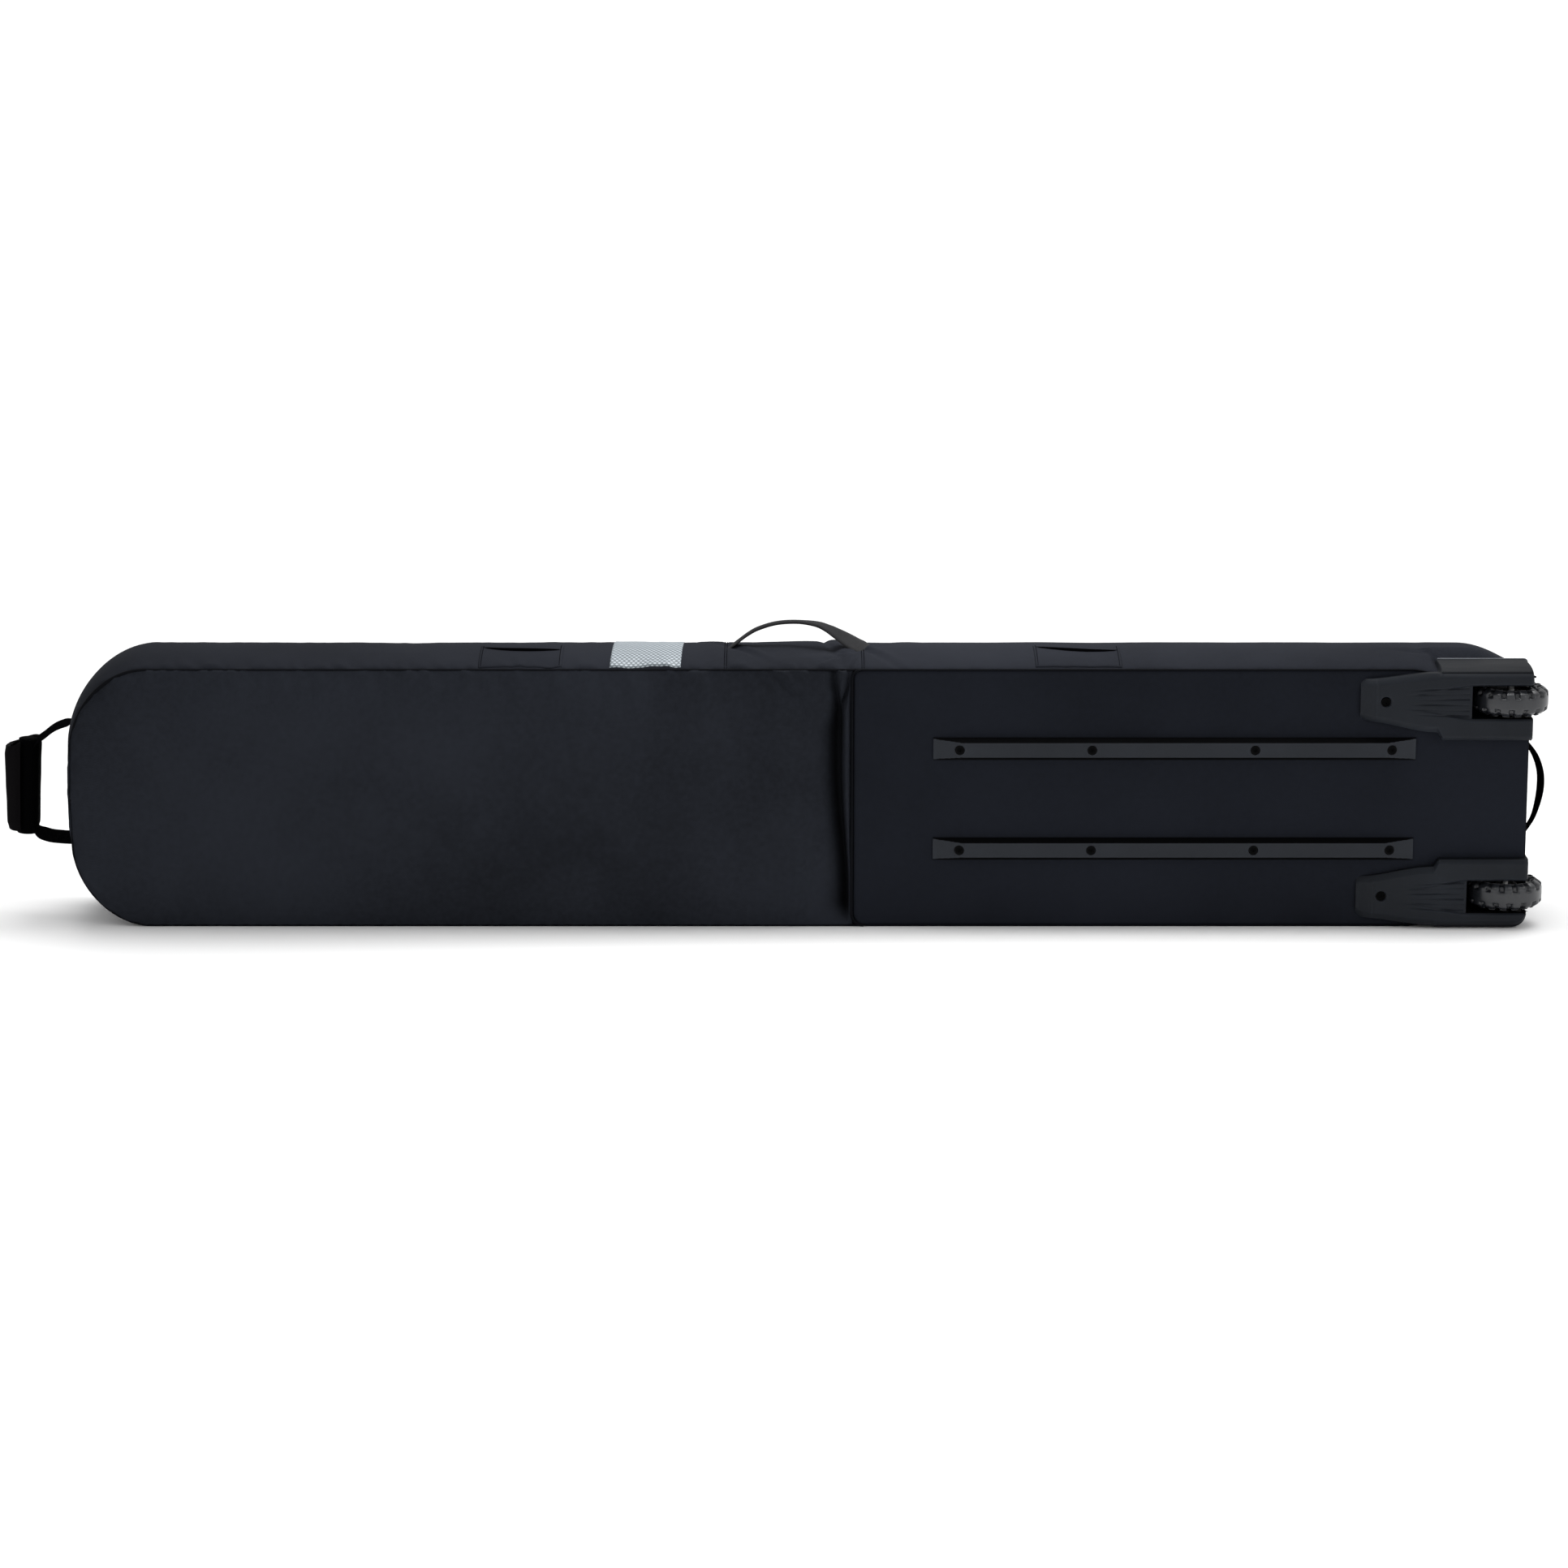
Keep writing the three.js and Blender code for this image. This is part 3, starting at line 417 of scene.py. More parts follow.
def make_materials():
    fine_yarn = 0.5 * MM
    grip_yarn = 0.45 * MM
    MATERIALS.update(
        soft=woven_material("soft_panel_fabric", (0.0168, 0.0188, 0.0240)),
        nose=woven_material("soft_nose_fabric", (0.0148, 0.0168, 0.0222), sunk=PAINTED_SHADE_DEPTHS, contrast=1.5),
        gusset=woven_material("gusset_fabric", (0.0136, 0.0150, 0.0196), gloss=0.03),
        base=woven_material("base_panel_fabric", (0.0087, 0.0101, 0.0144)),
        piping=woven_material("piping_fabric", (0.0030, 0.0034, 0.0048), yarn=fine_yarn),
        thread=webbing_material("stitching_thread", (0.0060, 0.0065, 0.0080)),
        webbing=webbing_material("black_webbing", (0.0022, 0.0022, 0.0026)),
        strap=woven_material("folded_strap_fabric", (0.0250, 0.0252, 0.0265), yarn=0.7 * MM),
        grip=woven_material("grip_neoprene", (0.0036, 0.0032, 0.0037), yarn=grip_yarn, gloss=0.03),
        reflective=honeycomb_material("reflective_honeycomb"),
        housing=moulded_material("housing_plastic", (0.0098, 0.0117, 0.0155), 0.44, 0.11, contrast=1.7),
        rail=moulded_material("rail_plastic", (0.0158, 0.0182, 0.0230), 0.42, 0.13),
        # a darker copy of the housing plastic for the housings' side walls: painted shade
        housing_side=moulded_material(
            "housing_side_plastic", (0.0064, 0.0074, 0.0094), 0.55, 0.06, scuffs=0.2
        ),
        # a much lighter copy of the housing plastic for the bead along each lip: painted highlight
        housing_rim=moulded_material("housing_rim_plastic", (0.060, 0.066, 0.078), specular=0.4, scuffs=0.2),
        # a near-black copy of the rail plastic for the rails' steep flanks: painted shade
        rail_side=moulded_material("rail_side_plastic", (0.0015, 0.0016, 0.0020), 0.8, 0.04, scuffs=0.1),
        tyre=moulded_material(
            "tyre_urethane", (0.0145, 0.0160, 0.0195), 0.30, 0.5, grain=60.0, scuffs=0.08
        ),
        hub=moulded_material("hub_nylon", (0.004, 0.004, 0.005), specular=0.2),
        board=moulded_material("board_sheet", (0.02, 0.02, 0.021)),
        screw=moulded_material("black_screw", (0.0007, 0.0008, 0.0010), 0.5, 0.03, scuffs=0.05),
        steel=metal_material("ground_steel", (0.55, 0.55, 0.55)),
        zip=moulded_material("zip_coil", (0.006, 0.0065, 0.008), specular=0.25),
        # a near-black copy of the housing plastic for the wheel wells and the rings round screw heads:
        # painted shade
        well=moulded_material("well_shade_plastic", (0.0012, 0.0012, 0.0014), specular=0.05, scuffs=0.1),
        # a near-black copy of the grip fabric for the grip's core: painted shade inside the pad
        core=woven_material("grip_core_shade", (0.0009, 0.0009, 0.0011), yarn=grip_yarn, gloss=0.01),
        shadow=woven_material("sleeve_mouth_fabric", (0.0007, 0.0007, 0.0009), gloss=0.0),
        tape=woven_material("zip_tape_fabric", (0.0050, 0.0055, 0.0068), yarn=fine_yarn),
    )


# ------------------------------------------------------------------ mesh helpers


def new_object(name, vertices, faces, material, uv=None):
    mesh = bpy.data.meshes.new(name)
    mesh.from_pydata([tuple(v) for v in vertices], [], [tuple(f) for f in faces])
    mesh.update()
    mesh.materials.append(MATERIALS[material])
    if uv is not None:
        layer = mesh.uv_layers.new(name="layout")
        loops = np.empty(len(mesh.loops), int)
        mesh.loops.foreach_get("vertex_index", loops)
        layer.data.foreach_set("uv", np.asarray(uv, np.float32)[loops].ravel())
    mesh.shade_smooth()
    return add_object(name, mesh)


def layout_of(points):
    """For a grid of points, the distances along its two directions, in metres."""
    steps = [np.linalg.norm(np.diff(points, axis=k), axis=-1) for k in (0, 1)]
    along = np.concatenate([np.zeros((1, points.shape[1])), np.cumsum(steps[0], 0)], 0)
    across = np.concatenate([np.zeros((points.shape[0], 1)), np.cumsum(steps[1], 1)], 1)
    return np.stack([along.mean(1, keepdims=True) + 0 * along, across], -1)


def grid_object(name, points, material, closed=(False, False), keep=None, flip=False):
    """A smooth surface over a grid of points; keep(centre) leaves out faces it refuses."""
    points = np.asarray(points, float)
    rows, columns = points.shape[:2]
    index = np.arange(rows * columns).reshape(rows, columns)
    if closed[0]:
        index = np.concatenate([index, index[:1]], 0)
    if closed[1]:
        index = np.concatenate([index, index[:, :1]], 1)
    quads = np.stack([index[:-1, :-1], index[1:, :-1], index[1:, 1:], index[:-1, 1:]], -1)
    quads = quads.reshape(-1, 4)
    if flip:
        quads = quads[:, ::-1]
    flat = points.reshape(-1, 3)
    if keep is not None:
        centres = flat[quads].mean(1)
        quads = quads[[bool(keep(c)) for c in centres]]
    return new_object(name, flat, quads.tolist(), material, layout_of(points).reshape(-1, 2))


def thicken(obj, thickness=FABRIC):
    """Gives an open surface its thickness, inwards."""
    modifier = obj.modifiers.new("thickness", "SOLIDIFY")
    modifier.thickness = thickness
    modifier.offset = -1.0
    modifier.use_rim = True


def soften(obj, width, segments, degrees):
    """Rounds the edges that are sharper than an angle."""
    modifier = obj.modifiers.new("rounded_edges", "BEVEL")
    modifier.width = width
    modifier.segments = segments
    modifier.limit_method = "ANGLE"
    modifier.angle_limit = math.radians(degrees)


def tube_object(name, path, radius, material, sides=10, closed=False, flat=1.0):
    """A tube along a path; the radius can vary along it, and flat squeezes its section."""
    path = np.asarray(path, float)
    if closed:
        tangents = np.roll(path, -1, 0) - np.roll(path, 1, 0)
    else:
        tangents = np.concatenate([path[1:], path[-1:]], 0) - np.concatenate([path[:1], path[:-1]], 0)
    tangents /= np.linalg.norm(tangents, axis=1, keepdims=True)
    radii = np.broadcast_to(radius, len(path))
    angles = np.arange(sides) / sides * 2 * math.pi
    side = np.array((0.0, 1.0, 0.0) if abs(tangents[0][1]) < 0.9 else (1.0, 0.0, 0.0))
    rings = []
    for centre, tangent, radius_here in zip(path, tangents, radii):
        side = side - tangent * side.dot(tangent)
        side /= np.linalg.norm(side)
        other = np.cross(tangent, side)
        circle = np.outer(np.cos(angles), side) + flat * np.outer(np.sin(angles), other)
        rings.append(centre + circle * radius_here)
    obj = grid_object(name, rings, material, closed=(closed, True))
    close_ends(obj)
    return obj


def close_ends(obj):
    """Fills any open ends of a tube and turns all its faces outwards."""
    body = bmesh.new()
    body.from_mesh(obj.data)
    bmesh.ops.holes_fill(body, edges=[e for e in body.edges if e.is_boundary], sides=0)
    bmesh.ops.recalc_face_normals(body, faces=body.faces)
    body.to_mesh(obj.data)
    body.free()
    obj.data.shade_smooth()


CAPSULE_SIDES = 6


def capsules_object(name, capsules, material):
    """Many short rounded bars in one mesh. Each has four rings, given as centre and radius,
    and the two directions that the rings lie in."""
    vertices, faces = [], []
    turns = np.linspace(0, 2 * math.pi, CAPSULE_SIDES, endpoint=False)
    for rings, side, up in capsules:
        start = len(vertices)
        for centre, radius in rings:
            vertices += [centre + radius * (side * math.cos(a) + up * math.sin(a)) for a in turns]
        for level in range(start, start + 3 * CAPSULE_SIDES, CAPSULE_SIDES):
            for j in range(CAPSULE_SIDES):
                p, q = level + j, level + (j + 1) % CAPSULE_SIDES
                faces.append((p, q, q + CAPSULE_SIDES, p + CAPSULE_SIDES))
        faces.append(tuple(start + j for j in reversed(range(CAPSULE_SIDES))))
        faces.append(tuple(start + 3 * CAPSULE_SIDES + j for j in range(CAPSULE_SIDES)))
    return new_object(name, vertices, faces, material)


def curve_points(points, count):
    """A smooth Catmull-Rom curve through points, evenly spaced."""
    points = np.asarray(points, float)
    padded = np.vstack([2 * points[0] - points[1], points, 2 * points[-1] - points[-2]])
    fine = []
    for a, b, c, d in zip(padded, padded[1:], padded[2:], padded[3:]):
        for t in np.linspace(0, 1, 24, endpoint=False):
            square, cube = (2 * a - 5 * b + 4 * c - d) * t**2, (3 * b - a - 3 * c + d) * t**3
            fine.append(0.5 * (2 * b + (c - a) * t + square + cube))
    fine = np.array(fine + [padded[-2]])
    lengths = lengths_along(fine)
    return point_at(fine, lengths, np.linspace(0, lengths[-1], count)).T


def place(obj, body, slot, *nodes, fill=None):
    """Joins a finished piece to its body and hides the CAD nodes it stands for; the slot is not used."""
    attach(obj, body)
    if nodes:
        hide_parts(*nodes)


CLOTH_FRAMES = 20
CLOTH_PRESSURE = 4.0
CLOTH_GROWTH = 0.012
CLOTH_BENDING = 1.5
CLOTH_CAP = 5 * MM


def settle_cloth(obj, held):
    """Lets a panel puff out and pucker under a slight pressure; held marks its fixed points.
    The result is written into the mesh, and no simulation stays on the piece."""
    group = obj.vertex_groups.new(name="held")
    group.add([int(i) for i in np.flatnonzero(held)], 1.0, "REPLACE")
    modifier = obj.modifiers.new("cloth", "CLOTH")
    settings = modifier.settings
    settings.quality = 5
    settings.use_pressure = True
    settings.uniform_pressure_force = CLOTH_PRESSURE
    settings.effector_weights.gravity = 0.0
    settings.vertex_group_mass = "held"
    settings.shrink_min = -CLOTH_GROWTH
    settings.bending_stiffness = CLOTH_BENDING
    modifier.point_cache.frame_start = 1
    modifier.point_cache.frame_end = CLOTH_FRAMES
    scene = bpy.context.scene
    for step in range(1, CLOTH_FRAMES + 1):
        scene.frame_set(step)
    settled = obj.evaluated_get(bpy.context.evaluated_depsgraph_get())
    rest = np.empty(3 * len(obj.data.vertices))
    moved = rest.copy()
    obj.data.vertices.foreach_get("co", rest)
    settled.data.vertices.foreach_get("co", moved)
    travel = (moved - rest).reshape(-1, 3)
    reach = np.linalg.norm(travel, axis=1, keepdims=True)
    capped = CLOTH_CAP * np.tanh(reach / CLOTH_CAP)
    travel = travel * capped / np.maximum(reach, 1e-9)
    scene.frame_set(1)
    obj.modifiers.remove(modifier)
    obj.vertex_groups.remove(obj.vertex_groups["held"])
    obj.data.vertices.foreach_set("co", rest + travel.ravel())
    obj.data.update()


# ------------------------------------------------------------------ outline of the bag


def corner_arc(centre, size, power, start, end, steps):
    """Part of a superellipse; angles run as on a circle, in degrees."""
    angles = np.radians(np.linspace(start, end, steps))
    reach = [np.copysign(np.abs(f(angles)) ** (2 / power), f(angles)) for f in (np.cos, np.sin)]
    return list(zip(centre[0] + size[0] * reach[0], centre[1] + size[1] * reach[1]))


LONG_STEPS = 560
CORNER_STEPS = 30
NOSE_STEPS = 22
TAIL_CORNER_STEPS = 16
TAIL_STEPS = 30


def ring(inset, top=None, back=False):
    """The bag's outline in X and Z, drawn in by inset, and by top at the upper side, from the
    lower tail corner along the bottom, round the nose, along the top and down the tail. Every
    ring has the same number of points, so that rings can be skinned together."""
    tail = TAIL_BACK_CORNER if back else TAIL_FRONT_CORNER
    power = TAIL_BACK_POWER if back else 2
    tail_x = max(tail[0] - inset, LEAST_CORNER)
    nose_x = max(NOSE_CORNER[0] - inset, LEAST_CORNER)
    x_tail = TAIL_X - tail_x - inset
    x_nose = NOSE_X + NOSE_CORNER[0]
    xs = np.linspace(x_tail, x_nose, LONG_STEPS, endpoint=False)

    def side(edge, lower):
        """The long run of one side, and the centres and sizes of its nose and tail corners."""
        def height(rise):
            return edge + rise if lower else TOP_Z - edge - rise

        step = TAIL_STEP if edge <= STEP_LIMIT else 0.0
        run = list(zip(xs, height(step * smooth(xs, STEP_START_X, STEP_END_X))))
        nose_z = max(NOSE_CORNER[1] - edge, LEAST_CORNER)
        tail_z = max(tail[1] - edge, LEAST_CORNER)
        nose_corner = (x_nose, height(nose_z)), (nose_x, nose_z)
        return run, nose_corner, ((x_tail, height(step + tail_z)), (tail_x, tail_z))

    low_run, low_nose, low_tail = side(inset, True)
    high_run, high_nose, high_tail = side(inset if top is None else top, False)
    nose_z = np.linspace(low_nose[0][1], high_nose[0][1], NOSE_STEPS + 2)
    reach, middle = (nose_z[-1] - nose_z[0]) / 2, (nose_z[-1] + nose_z[0]) / 2
    bowed = x_nose - nose_x - NOSE_BOW * (1 - ((nose_z - middle) / reach) ** 2)
    tail_z = np.linspace(high_tail[0][1], low_tail[0][1], TAIL_STEPS + 2)
    return np.array(
        low_run
        + corner_arc(*low_nose, NOSE_POWER, 270, 180, CORNER_STEPS)
        + list(zip(bowed, nose_z))[1:-1]
        + corner_arc(*high_nose, NOSE_POWER, 180, 90, CORNER_STEPS)
        + high_run[::-1]
        + corner_arc(*high_tail, power, 90, 0, TAIL_CORNER_STEPS)
        + [(TAIL_X - inset, z) for z in tail_z[1:-1]]
        + corner_arc(*low_tail, power, 0, -90, TAIL_CORNER_STEPS)
    )


def normals_of(outline):
    """Outward normals in X and Z along a closed outline that runs clockwise from below."""
    tangents = np.roll(outline, -1, 0) - np.roll(outline, 1, 0)
    lengths = np.linalg.norm(tangents, axis=1, keepdims=True)
    tangents = tangents / np.maximum(lengths, 1e-9)
    return np.stack([-tangents[:, 1], tangents[:, 0]], 1)


def on_plane(outline, y):
    """Outline points as 3-D points at depth y."""
    return stacked(outline[:, 0], y, outline[:, 1])


FRONT_SEAM = ring(SEAM_INSET)
BACK_SEAM = ring(SEAM_INSET, back=True)
SEAM_DEPTH = HALF_DEPTH - SEAM_INSET      # from the middle plane out to either seam
GUSSET_ROWS = 2 * (LONG_STEPS + CORNER_STEPS + TAIL_CORNER_STEPS) + NOSE_STEPS
GUSSET_COLUMNS = 40


def towards_lid(y):
    """How far the outline has changed from the wheel side's to the lid side's at depth y."""
    return smooth(y, -38 * MM, -8 * MM)


# ------------------------------------------------------------------ gusset


def crest_at(x, z):
    """Dome of the gusset: none where the bag rests, some at the nose, all of it on top."""
    rise = smooth(z, 0.0, 0.3 * TOP_Z)
    high = smooth(z, 0.6 * TOP_Z, 0.98 * TOP_Z)
    tail = 1 - smooth(x, 0.770, 0.850)
    return rise * tail * (NOSE_CREST + (CREST - NOSE_CREST) * high)


def pucker(distance, edge, x):
    """Small gathers beside a seam: strong on the soft nose half, faint on the stiff half."""
    soft = 0.35 + 1.15 * (1 - smooth(x, BASE_X - 0.02, BASE_X + 0.02))
    fade = 1.25 * np.exp(-edge / (11 * MM)) * (1 - np.exp(-edge / (2.2 * MM)))
    sample = stacked(distance, edge * 0.35, 0)
    small = noise_field(sample, 11 * MM, seed=3.1)
    large = noise_field(sample, 34 * MM, seed=8.7)
    return soft * fade * (2.3 * MM * small + 2.1 * MM * large)


GUSSET_SEAMS_X = (-0.0835, 0.0735)
HANDLE_CREASES = (      # foot, lean and depth in millimetres of each crease
    (0.070, -0.9, 1.7), (0.070, 0.7, 1.1), (-0.074, 0.8, 0.9), (0.04, 0.2, 1.1),
)


def handle_wrinkles(x, y):
    """The gusset is pulled up a little and creased where the carry handle is sewn."""
    relief = 2.2 * MM * bump(x, 0.01, 0.055) * bump(y, 0.01, 0.05)
    for foot, lean, depth in HANDLE_CREASES:
        away = (x - foot) + lean * (y + 0.01)
        relief = relief - 2.0 * depth * MM * bump(away, 0, 0.006) * bump(x, foot, 0.045)
        relief = relief + 1.3 * depth * MM * bump(away, 0.012, 0.007) * bump(x, foot, 0.05)
    for seam_x in GUSSET_SEAMS_X:
        relief = relief - 1.0 * MM * bump(x, seam_x, 0.0022)
    crease = -3.4 * MM * bump(x, 0.056 + 0.25 * (y + 0.07), 0.005) * smooth(-y, -0.03, 0.05)
    dent = -5.0 * MM * bump(x, 0.030, 0.030) * bump(y, -0.012, 0.024)
    return relief + crease + dent


def gusset_point_grid():
    """Points of the gusset band: along the seam, and across from the wheel side to the lid."""
    across = np.sin(np.linspace(-math.pi / 2, math.pi / 2, GUSSET_COLUMNS))
    front, back, front_normal, back_normal = (
        np.roll(line, TAIL_CORNER_STEPS, 0)[:GUSSET_ROWS]
        for line in (FRONT_SEAM, BACK_SEAM, normals_of(FRONT_SEAM), normals_of(BACK_SEAM))
    )
    distance = lengths_along(front)
    grid = np.empty((GUSSET_ROWS, GUSSET_COLUMNS, 3))
    for k, t in enumerate(across):
        y = t * SEAM_DEPTH
        mix = towards_lid(y)
        x, z = (front * (1 - mix) + back * mix).T
        normal = front_normal * (1 - mix) + back_normal * mix
        edge = SEAM_DEPTH - abs(y)
        free = 1 - smooth(x, 0.722, 0.735) * (1 - smooth(y, -36 * MM, -8 * MM))
        level = TAIL_STEP * smooth(x, STEP_START_X, STEP_END_X) * smooth(y, -60 * MM, -20 * MM)
        dome = crest_at(x, z) * (1 - t * t) ** 0.8 + level * smooth(z, MID_Z, TOP_Z)
        seam_gathers = pucker(distance + 2.1 * (t > 0), edge, x)
        slack = 1.6 * MM * noise_field(stacked(x, y, z), 90 * MM, seed=5.5) * (1 - t * t)
        creases = handle_wrinkles(x, y) * smooth(z, 0.9 * TOP_Z, 0.98 * TOP_Z)
        resting = smooth(z, 2 * MM, 14 * MM)
        out = SEAM_INSET * quarter_round(edge, 7 * MM) * (0.001 + 0.999 * free)
        out = out + free * (dome + resting * (seam_gathers + slack + creases))
        out = np.where(z < 4 * MM, np.clip(out, -2 * MM, SEAM_INSET), out)
        grid[:, k] = stacked(x + normal[:, 0] * out, y, z + normal[:, 1] * out)
    grid[:, :, 2] = np.maximum(grid[:, :, 2], 0.1 * MM)
    return grid


GUSSET_GRID = gusset_point_grid()


def add_gusset():
    obj = grid_object("side_gusset", GUSSET_GRID, "gusset")
    thicken(obj)
    place(obj, "bag", "gusset_fabric", "upper_gusset", "nose_gusset", "lower_gusset", fill=0.35)


# ------------------------------------------------------------------ wheel-side panels


def edge_distance(x, z, outline):
    """Distance from each point to an outline."""
    flat = np.stack([x.ravel(), z.ravel()], 1)
    best = np.full(len(flat), 1e9)
    for start in range(0, len(outline), 60):
        part = outline[start : start + 60]
        gap = np.linalg.norm(flat[:, None, :] - part[None], axis=2).min(1)
        best = np.minimum(best, gap)
    return best.reshape(x.shape)


def filled(xs, share, outline):
    """X and Z of a grid that fills an outline, with rows at these shares of its height."""
    line = outline[np.argsort(outline[:, 0])]
    low, high = (
        np.interp(xs, part[:, 0], part[:, 1])[:, None]
        for part in (line[line[:, 1] <= MID_Z], line[line[:, 1] > MID_Z])
    )
    return np.repeat(xs[:, None], len(share), 1), low * (1 - share) + high * share


def valley(x, centre, left, right, floor=0.0):
    """A fold's section: an easy slope on its nose side, a floor, and a steep tail side."""
    away = x - centre
    away = np.where(away > 0, np.maximum(away - floor, 0), away)
    nose_side = np.exp(-((np.abs(away) / left) ** 1.35))
    tail_side = np.exp(-((np.abs(away) / right) ** 2))
    return np.where(away < 0, nose_side, tail_side)


FOLD_DEPTH = 25 * MM


def fold_relief(x, z):
    """The deep upright fold beside the stiff base panel; it splits in two near the top."""
    height = z / TOP_Z
    upright = smooth(height, 0.0, 0.10)
    split = smooth(height, 0.80, 1.0)
    centre = BASE_X - 0.0155 + 0.0115 * (1 - smooth(height, 0.0, 0.75))
    centre = centre + 0.0012 * np.sin(height * 9.0)
    left_way = centre - 0.0045 * split
    right_way = centre + 0.0010 + 0.0130 * split
    depth = FOLD_DEPTH * upright * (1 - 0.66 * smooth(height, 0.76, 1.0))
    width = 13.5 * MM - 8 * MM * smooth(height, 0.74, 0.9)
    floor = 0.35 * np.maximum(BASE_X - 0.0060 - left_way, 0) * (1 - split)
    left_fold = valley(x, left_way, width, 3.0 * MM, floor)
    right_fold = valley(x, right_way, 3.8 * MM, 3.2 * MM) * smooth(height, 0.72, 0.84)
    tuck = 4.0 * MM * smooth(height, 0.84, 0.93) * bump(x, (left_way + right_way) / 2, 4.5 * MM)
    shoulder = -3.0 * MM * upright * bump(x, centre - 0.024, 0.016) * (1 - 0.5 * split)
    roll = 2.4 * MM * upright * bump(x, centre - 0.050, 0.018)
    drape = -1.8 * MM * bump(x + 0.32 * (z - 0.15), BASE_X - 0.085, 0.012) * bump(height, 0.6, 0.25)
    return -depth * np.maximum(left_fold, 0.8 * right_fold) + tuck + shoulder + roll + drape


def add_soft_panel():
    end = BASE_X + 2 * MM
    near = NOSE_X + NOSE_CORNER[0] * (1 - np.cos(np.linspace(0, math.pi / 2, 26)))
    middle = np.linspace(near[-1], BASE_X - 0.10, 150)[1:]
    xs = np.concatenate([near, middle, np.linspace(middle[-1], end, 110)[1:]])
    x, z = filled(xs, eased(84, 0.45), FRONT_SEAM)
    edge = edge_distance(x, z, FRONT_SEAM[FRONT_SEAM[:, 0] < BASE_X + 0.05])
    sample = stacked(x, 0, z)
    rounded = SEAM_INSET * quarter_round(edge, 6 * MM)
    crown = 5.0 * MM * (1 - np.exp(-edge / (45 * MM)))
    broad = 3.2 * MM * noise_field(sample, 0.22, seed=1.3)
    fine = 1.1 * MM * noise_field(sample, 0.075, seed=6.1)
    billow = (broad + fine) * smooth(edge, 0.0, 0.05)
    gathers = pucker(x + 0.6 * z + 0.4, edge, x) * smooth(z, 0.02, 0.08)
    out = rounded + crown + billow + gathers + fold_relief(x, z)
    sewn = smooth(x, BASE_X - 4.5 * MM, BASE_X - 0.5 * MM)
    y = (FRONT_Y + SEAM_INSET - out) * (1 - sewn) + (FRONT_Y + 2 * MM) * sewn
    obj = grid_object("soft_nose_panel", stacked(x, y, z), "nose")
    settle_cloth(obj, ((edge < 3 * MM) | (x > BASE_X - 0.052)).ravel())
    thicken(obj)
    place(obj, "bag", "soft_fabric", "soft_panel", fill=0.4)


CUT_HALF = 21.5 * MM                # half height of the base and tail panels' wheel openings
CUT_X = 0.766
CUT_Y = -4 * MM


def outside_wells(centre):
    """True where the base and tail panels aren't cut away for a wheel well."""
    x, y, z = centre
    near = min(abs(z - WHEEL_UPPER_Z), abs(z - WHEEL_LOWER_Z)) < CUT_HALF
    return not (near and x > CUT_X and y < CUT_Y)


BASE_CORNERS = (10 * MM, 14 * MM)   # radius of the base panel's upper and lower nose-side corners
BASE_ROUND = 2.6 * MM               # how far the base panel's edge rounds over


def base_nose_edge(z, start):
    """X of the base panel's nose-side edge at height z."""
    for corner, radius, sign in ((TOP_Z, BASE_CORNERS[0], -1), (0.0, BASE_CORNERS[1], 1)):
        beyond = (corner + sign * (radius + SEAM_INSET) - z) * sign
        if beyond > 0:
            share = min(beyond / radius, 1.0)
            return start + radius * (1 - math.sqrt(1 - share * share))
    return start


def add_base_panel():
    rows = 90
    columns = np.concatenate([np.linspace(0, 0.06, 24), np.linspace(0.06, 1.0, 170)[1:]])
    low, high = SEAM_INSET, TOP_Z - SEAM_INSET
    grid = np.empty((len(columns), rows, 3))
    for k, s in enumerate(eased(rows, 0.4)):
        left = base_nose_edge(low + (high - low) * s, BASE_X + 2.2 * MM)
        x = left + (TAIL_X - SEAM_INSET - left) * columns
        step = TAIL_STEP * smooth(x, STEP_START_X, STEP_END_X)
        z = (low + step) * (1 - s) + (high - step) * s
        side = np.minimum(z - low - step, high - step - z)
        edge = np.maximum(np.minimum(side, x - left), 0)
        rounded = BASE_ROUND * quarter_round(edge, 7 * MM)
        crown = 0.9 * MM * (1 - np.exp(-edge / (25 * MM)))
        waver = 0.5 * MM * noise_field(stacked(x, 0, z), 0.10, seed=12.0) * smooth(edge, 0, 0.02)
        drawn = pucker(x + 9.0, edge, x) * smooth(x, BASE_X + 0.01, BASE_X + 0.05)
        grid[:, k] = stacked(x, FRONT_Y + BASE_ROUND - rounded - crown - waver - 0.6 * drawn, z)
    obj = grid_object("base_panel_skin", grid, "base", keep=outside_wells)
    thicken(obj)
    place(obj, "bag", "base_fabric", "base_panel", fill=0.2)


def add_seams():
    """Rolled seam beads round both sides and the bound edge of the base panel."""
    for name, outline, y in (
        ("front_seam_bead", FRONT_SEAM, FRONT_Y + SEAM_INSET),
        ("back_seam_bead", BACK_SEAM, BACK_Y - SEAM_INSET),
    ):
        x, z = outline.T
        at_corner = bump(x, NOSE_X + 0.035, 0.045) * smooth(z, MID_Z + 0.02, TOP_Z - 0.03)
        radius = 1.3 * MM + 1.2 * MM * at_corner
        bead = tube_object(name, on_plane(outline, y), radius, "piping", sides=8, closed=True)
        place(bead, "bag", "piping")
    x = BASE_X + 0.9 * MM
    arcs = []
    for radius, z, angles in (
        (BASE_CORNERS[0], TOP_Z - SEAM_INSET - BASE_CORNERS[0], (90, 180)),
        (BASE_CORNERS[1], SEAM_INSET + BASE_CORNERS[1], (180, 270)),
    ):
        arcs.append(corner_arc((x + radius, z), (radius, radius), 2, *angles, 8))
    high, low = arcs
    straight = [(x, z) for z in np.linspace(high[-1][1], low[0][1], 40)[1:-1]]
    path = on_plane(np.array(high + straight + low), FRONT_Y + 0.2 * MM)
    bead = tube_object("base_panel_piping", path, 1.7 * MM, "piping")
    place(bead, "bag", "piping", "base_piping")


# ------------------------------------------------------------------ tail


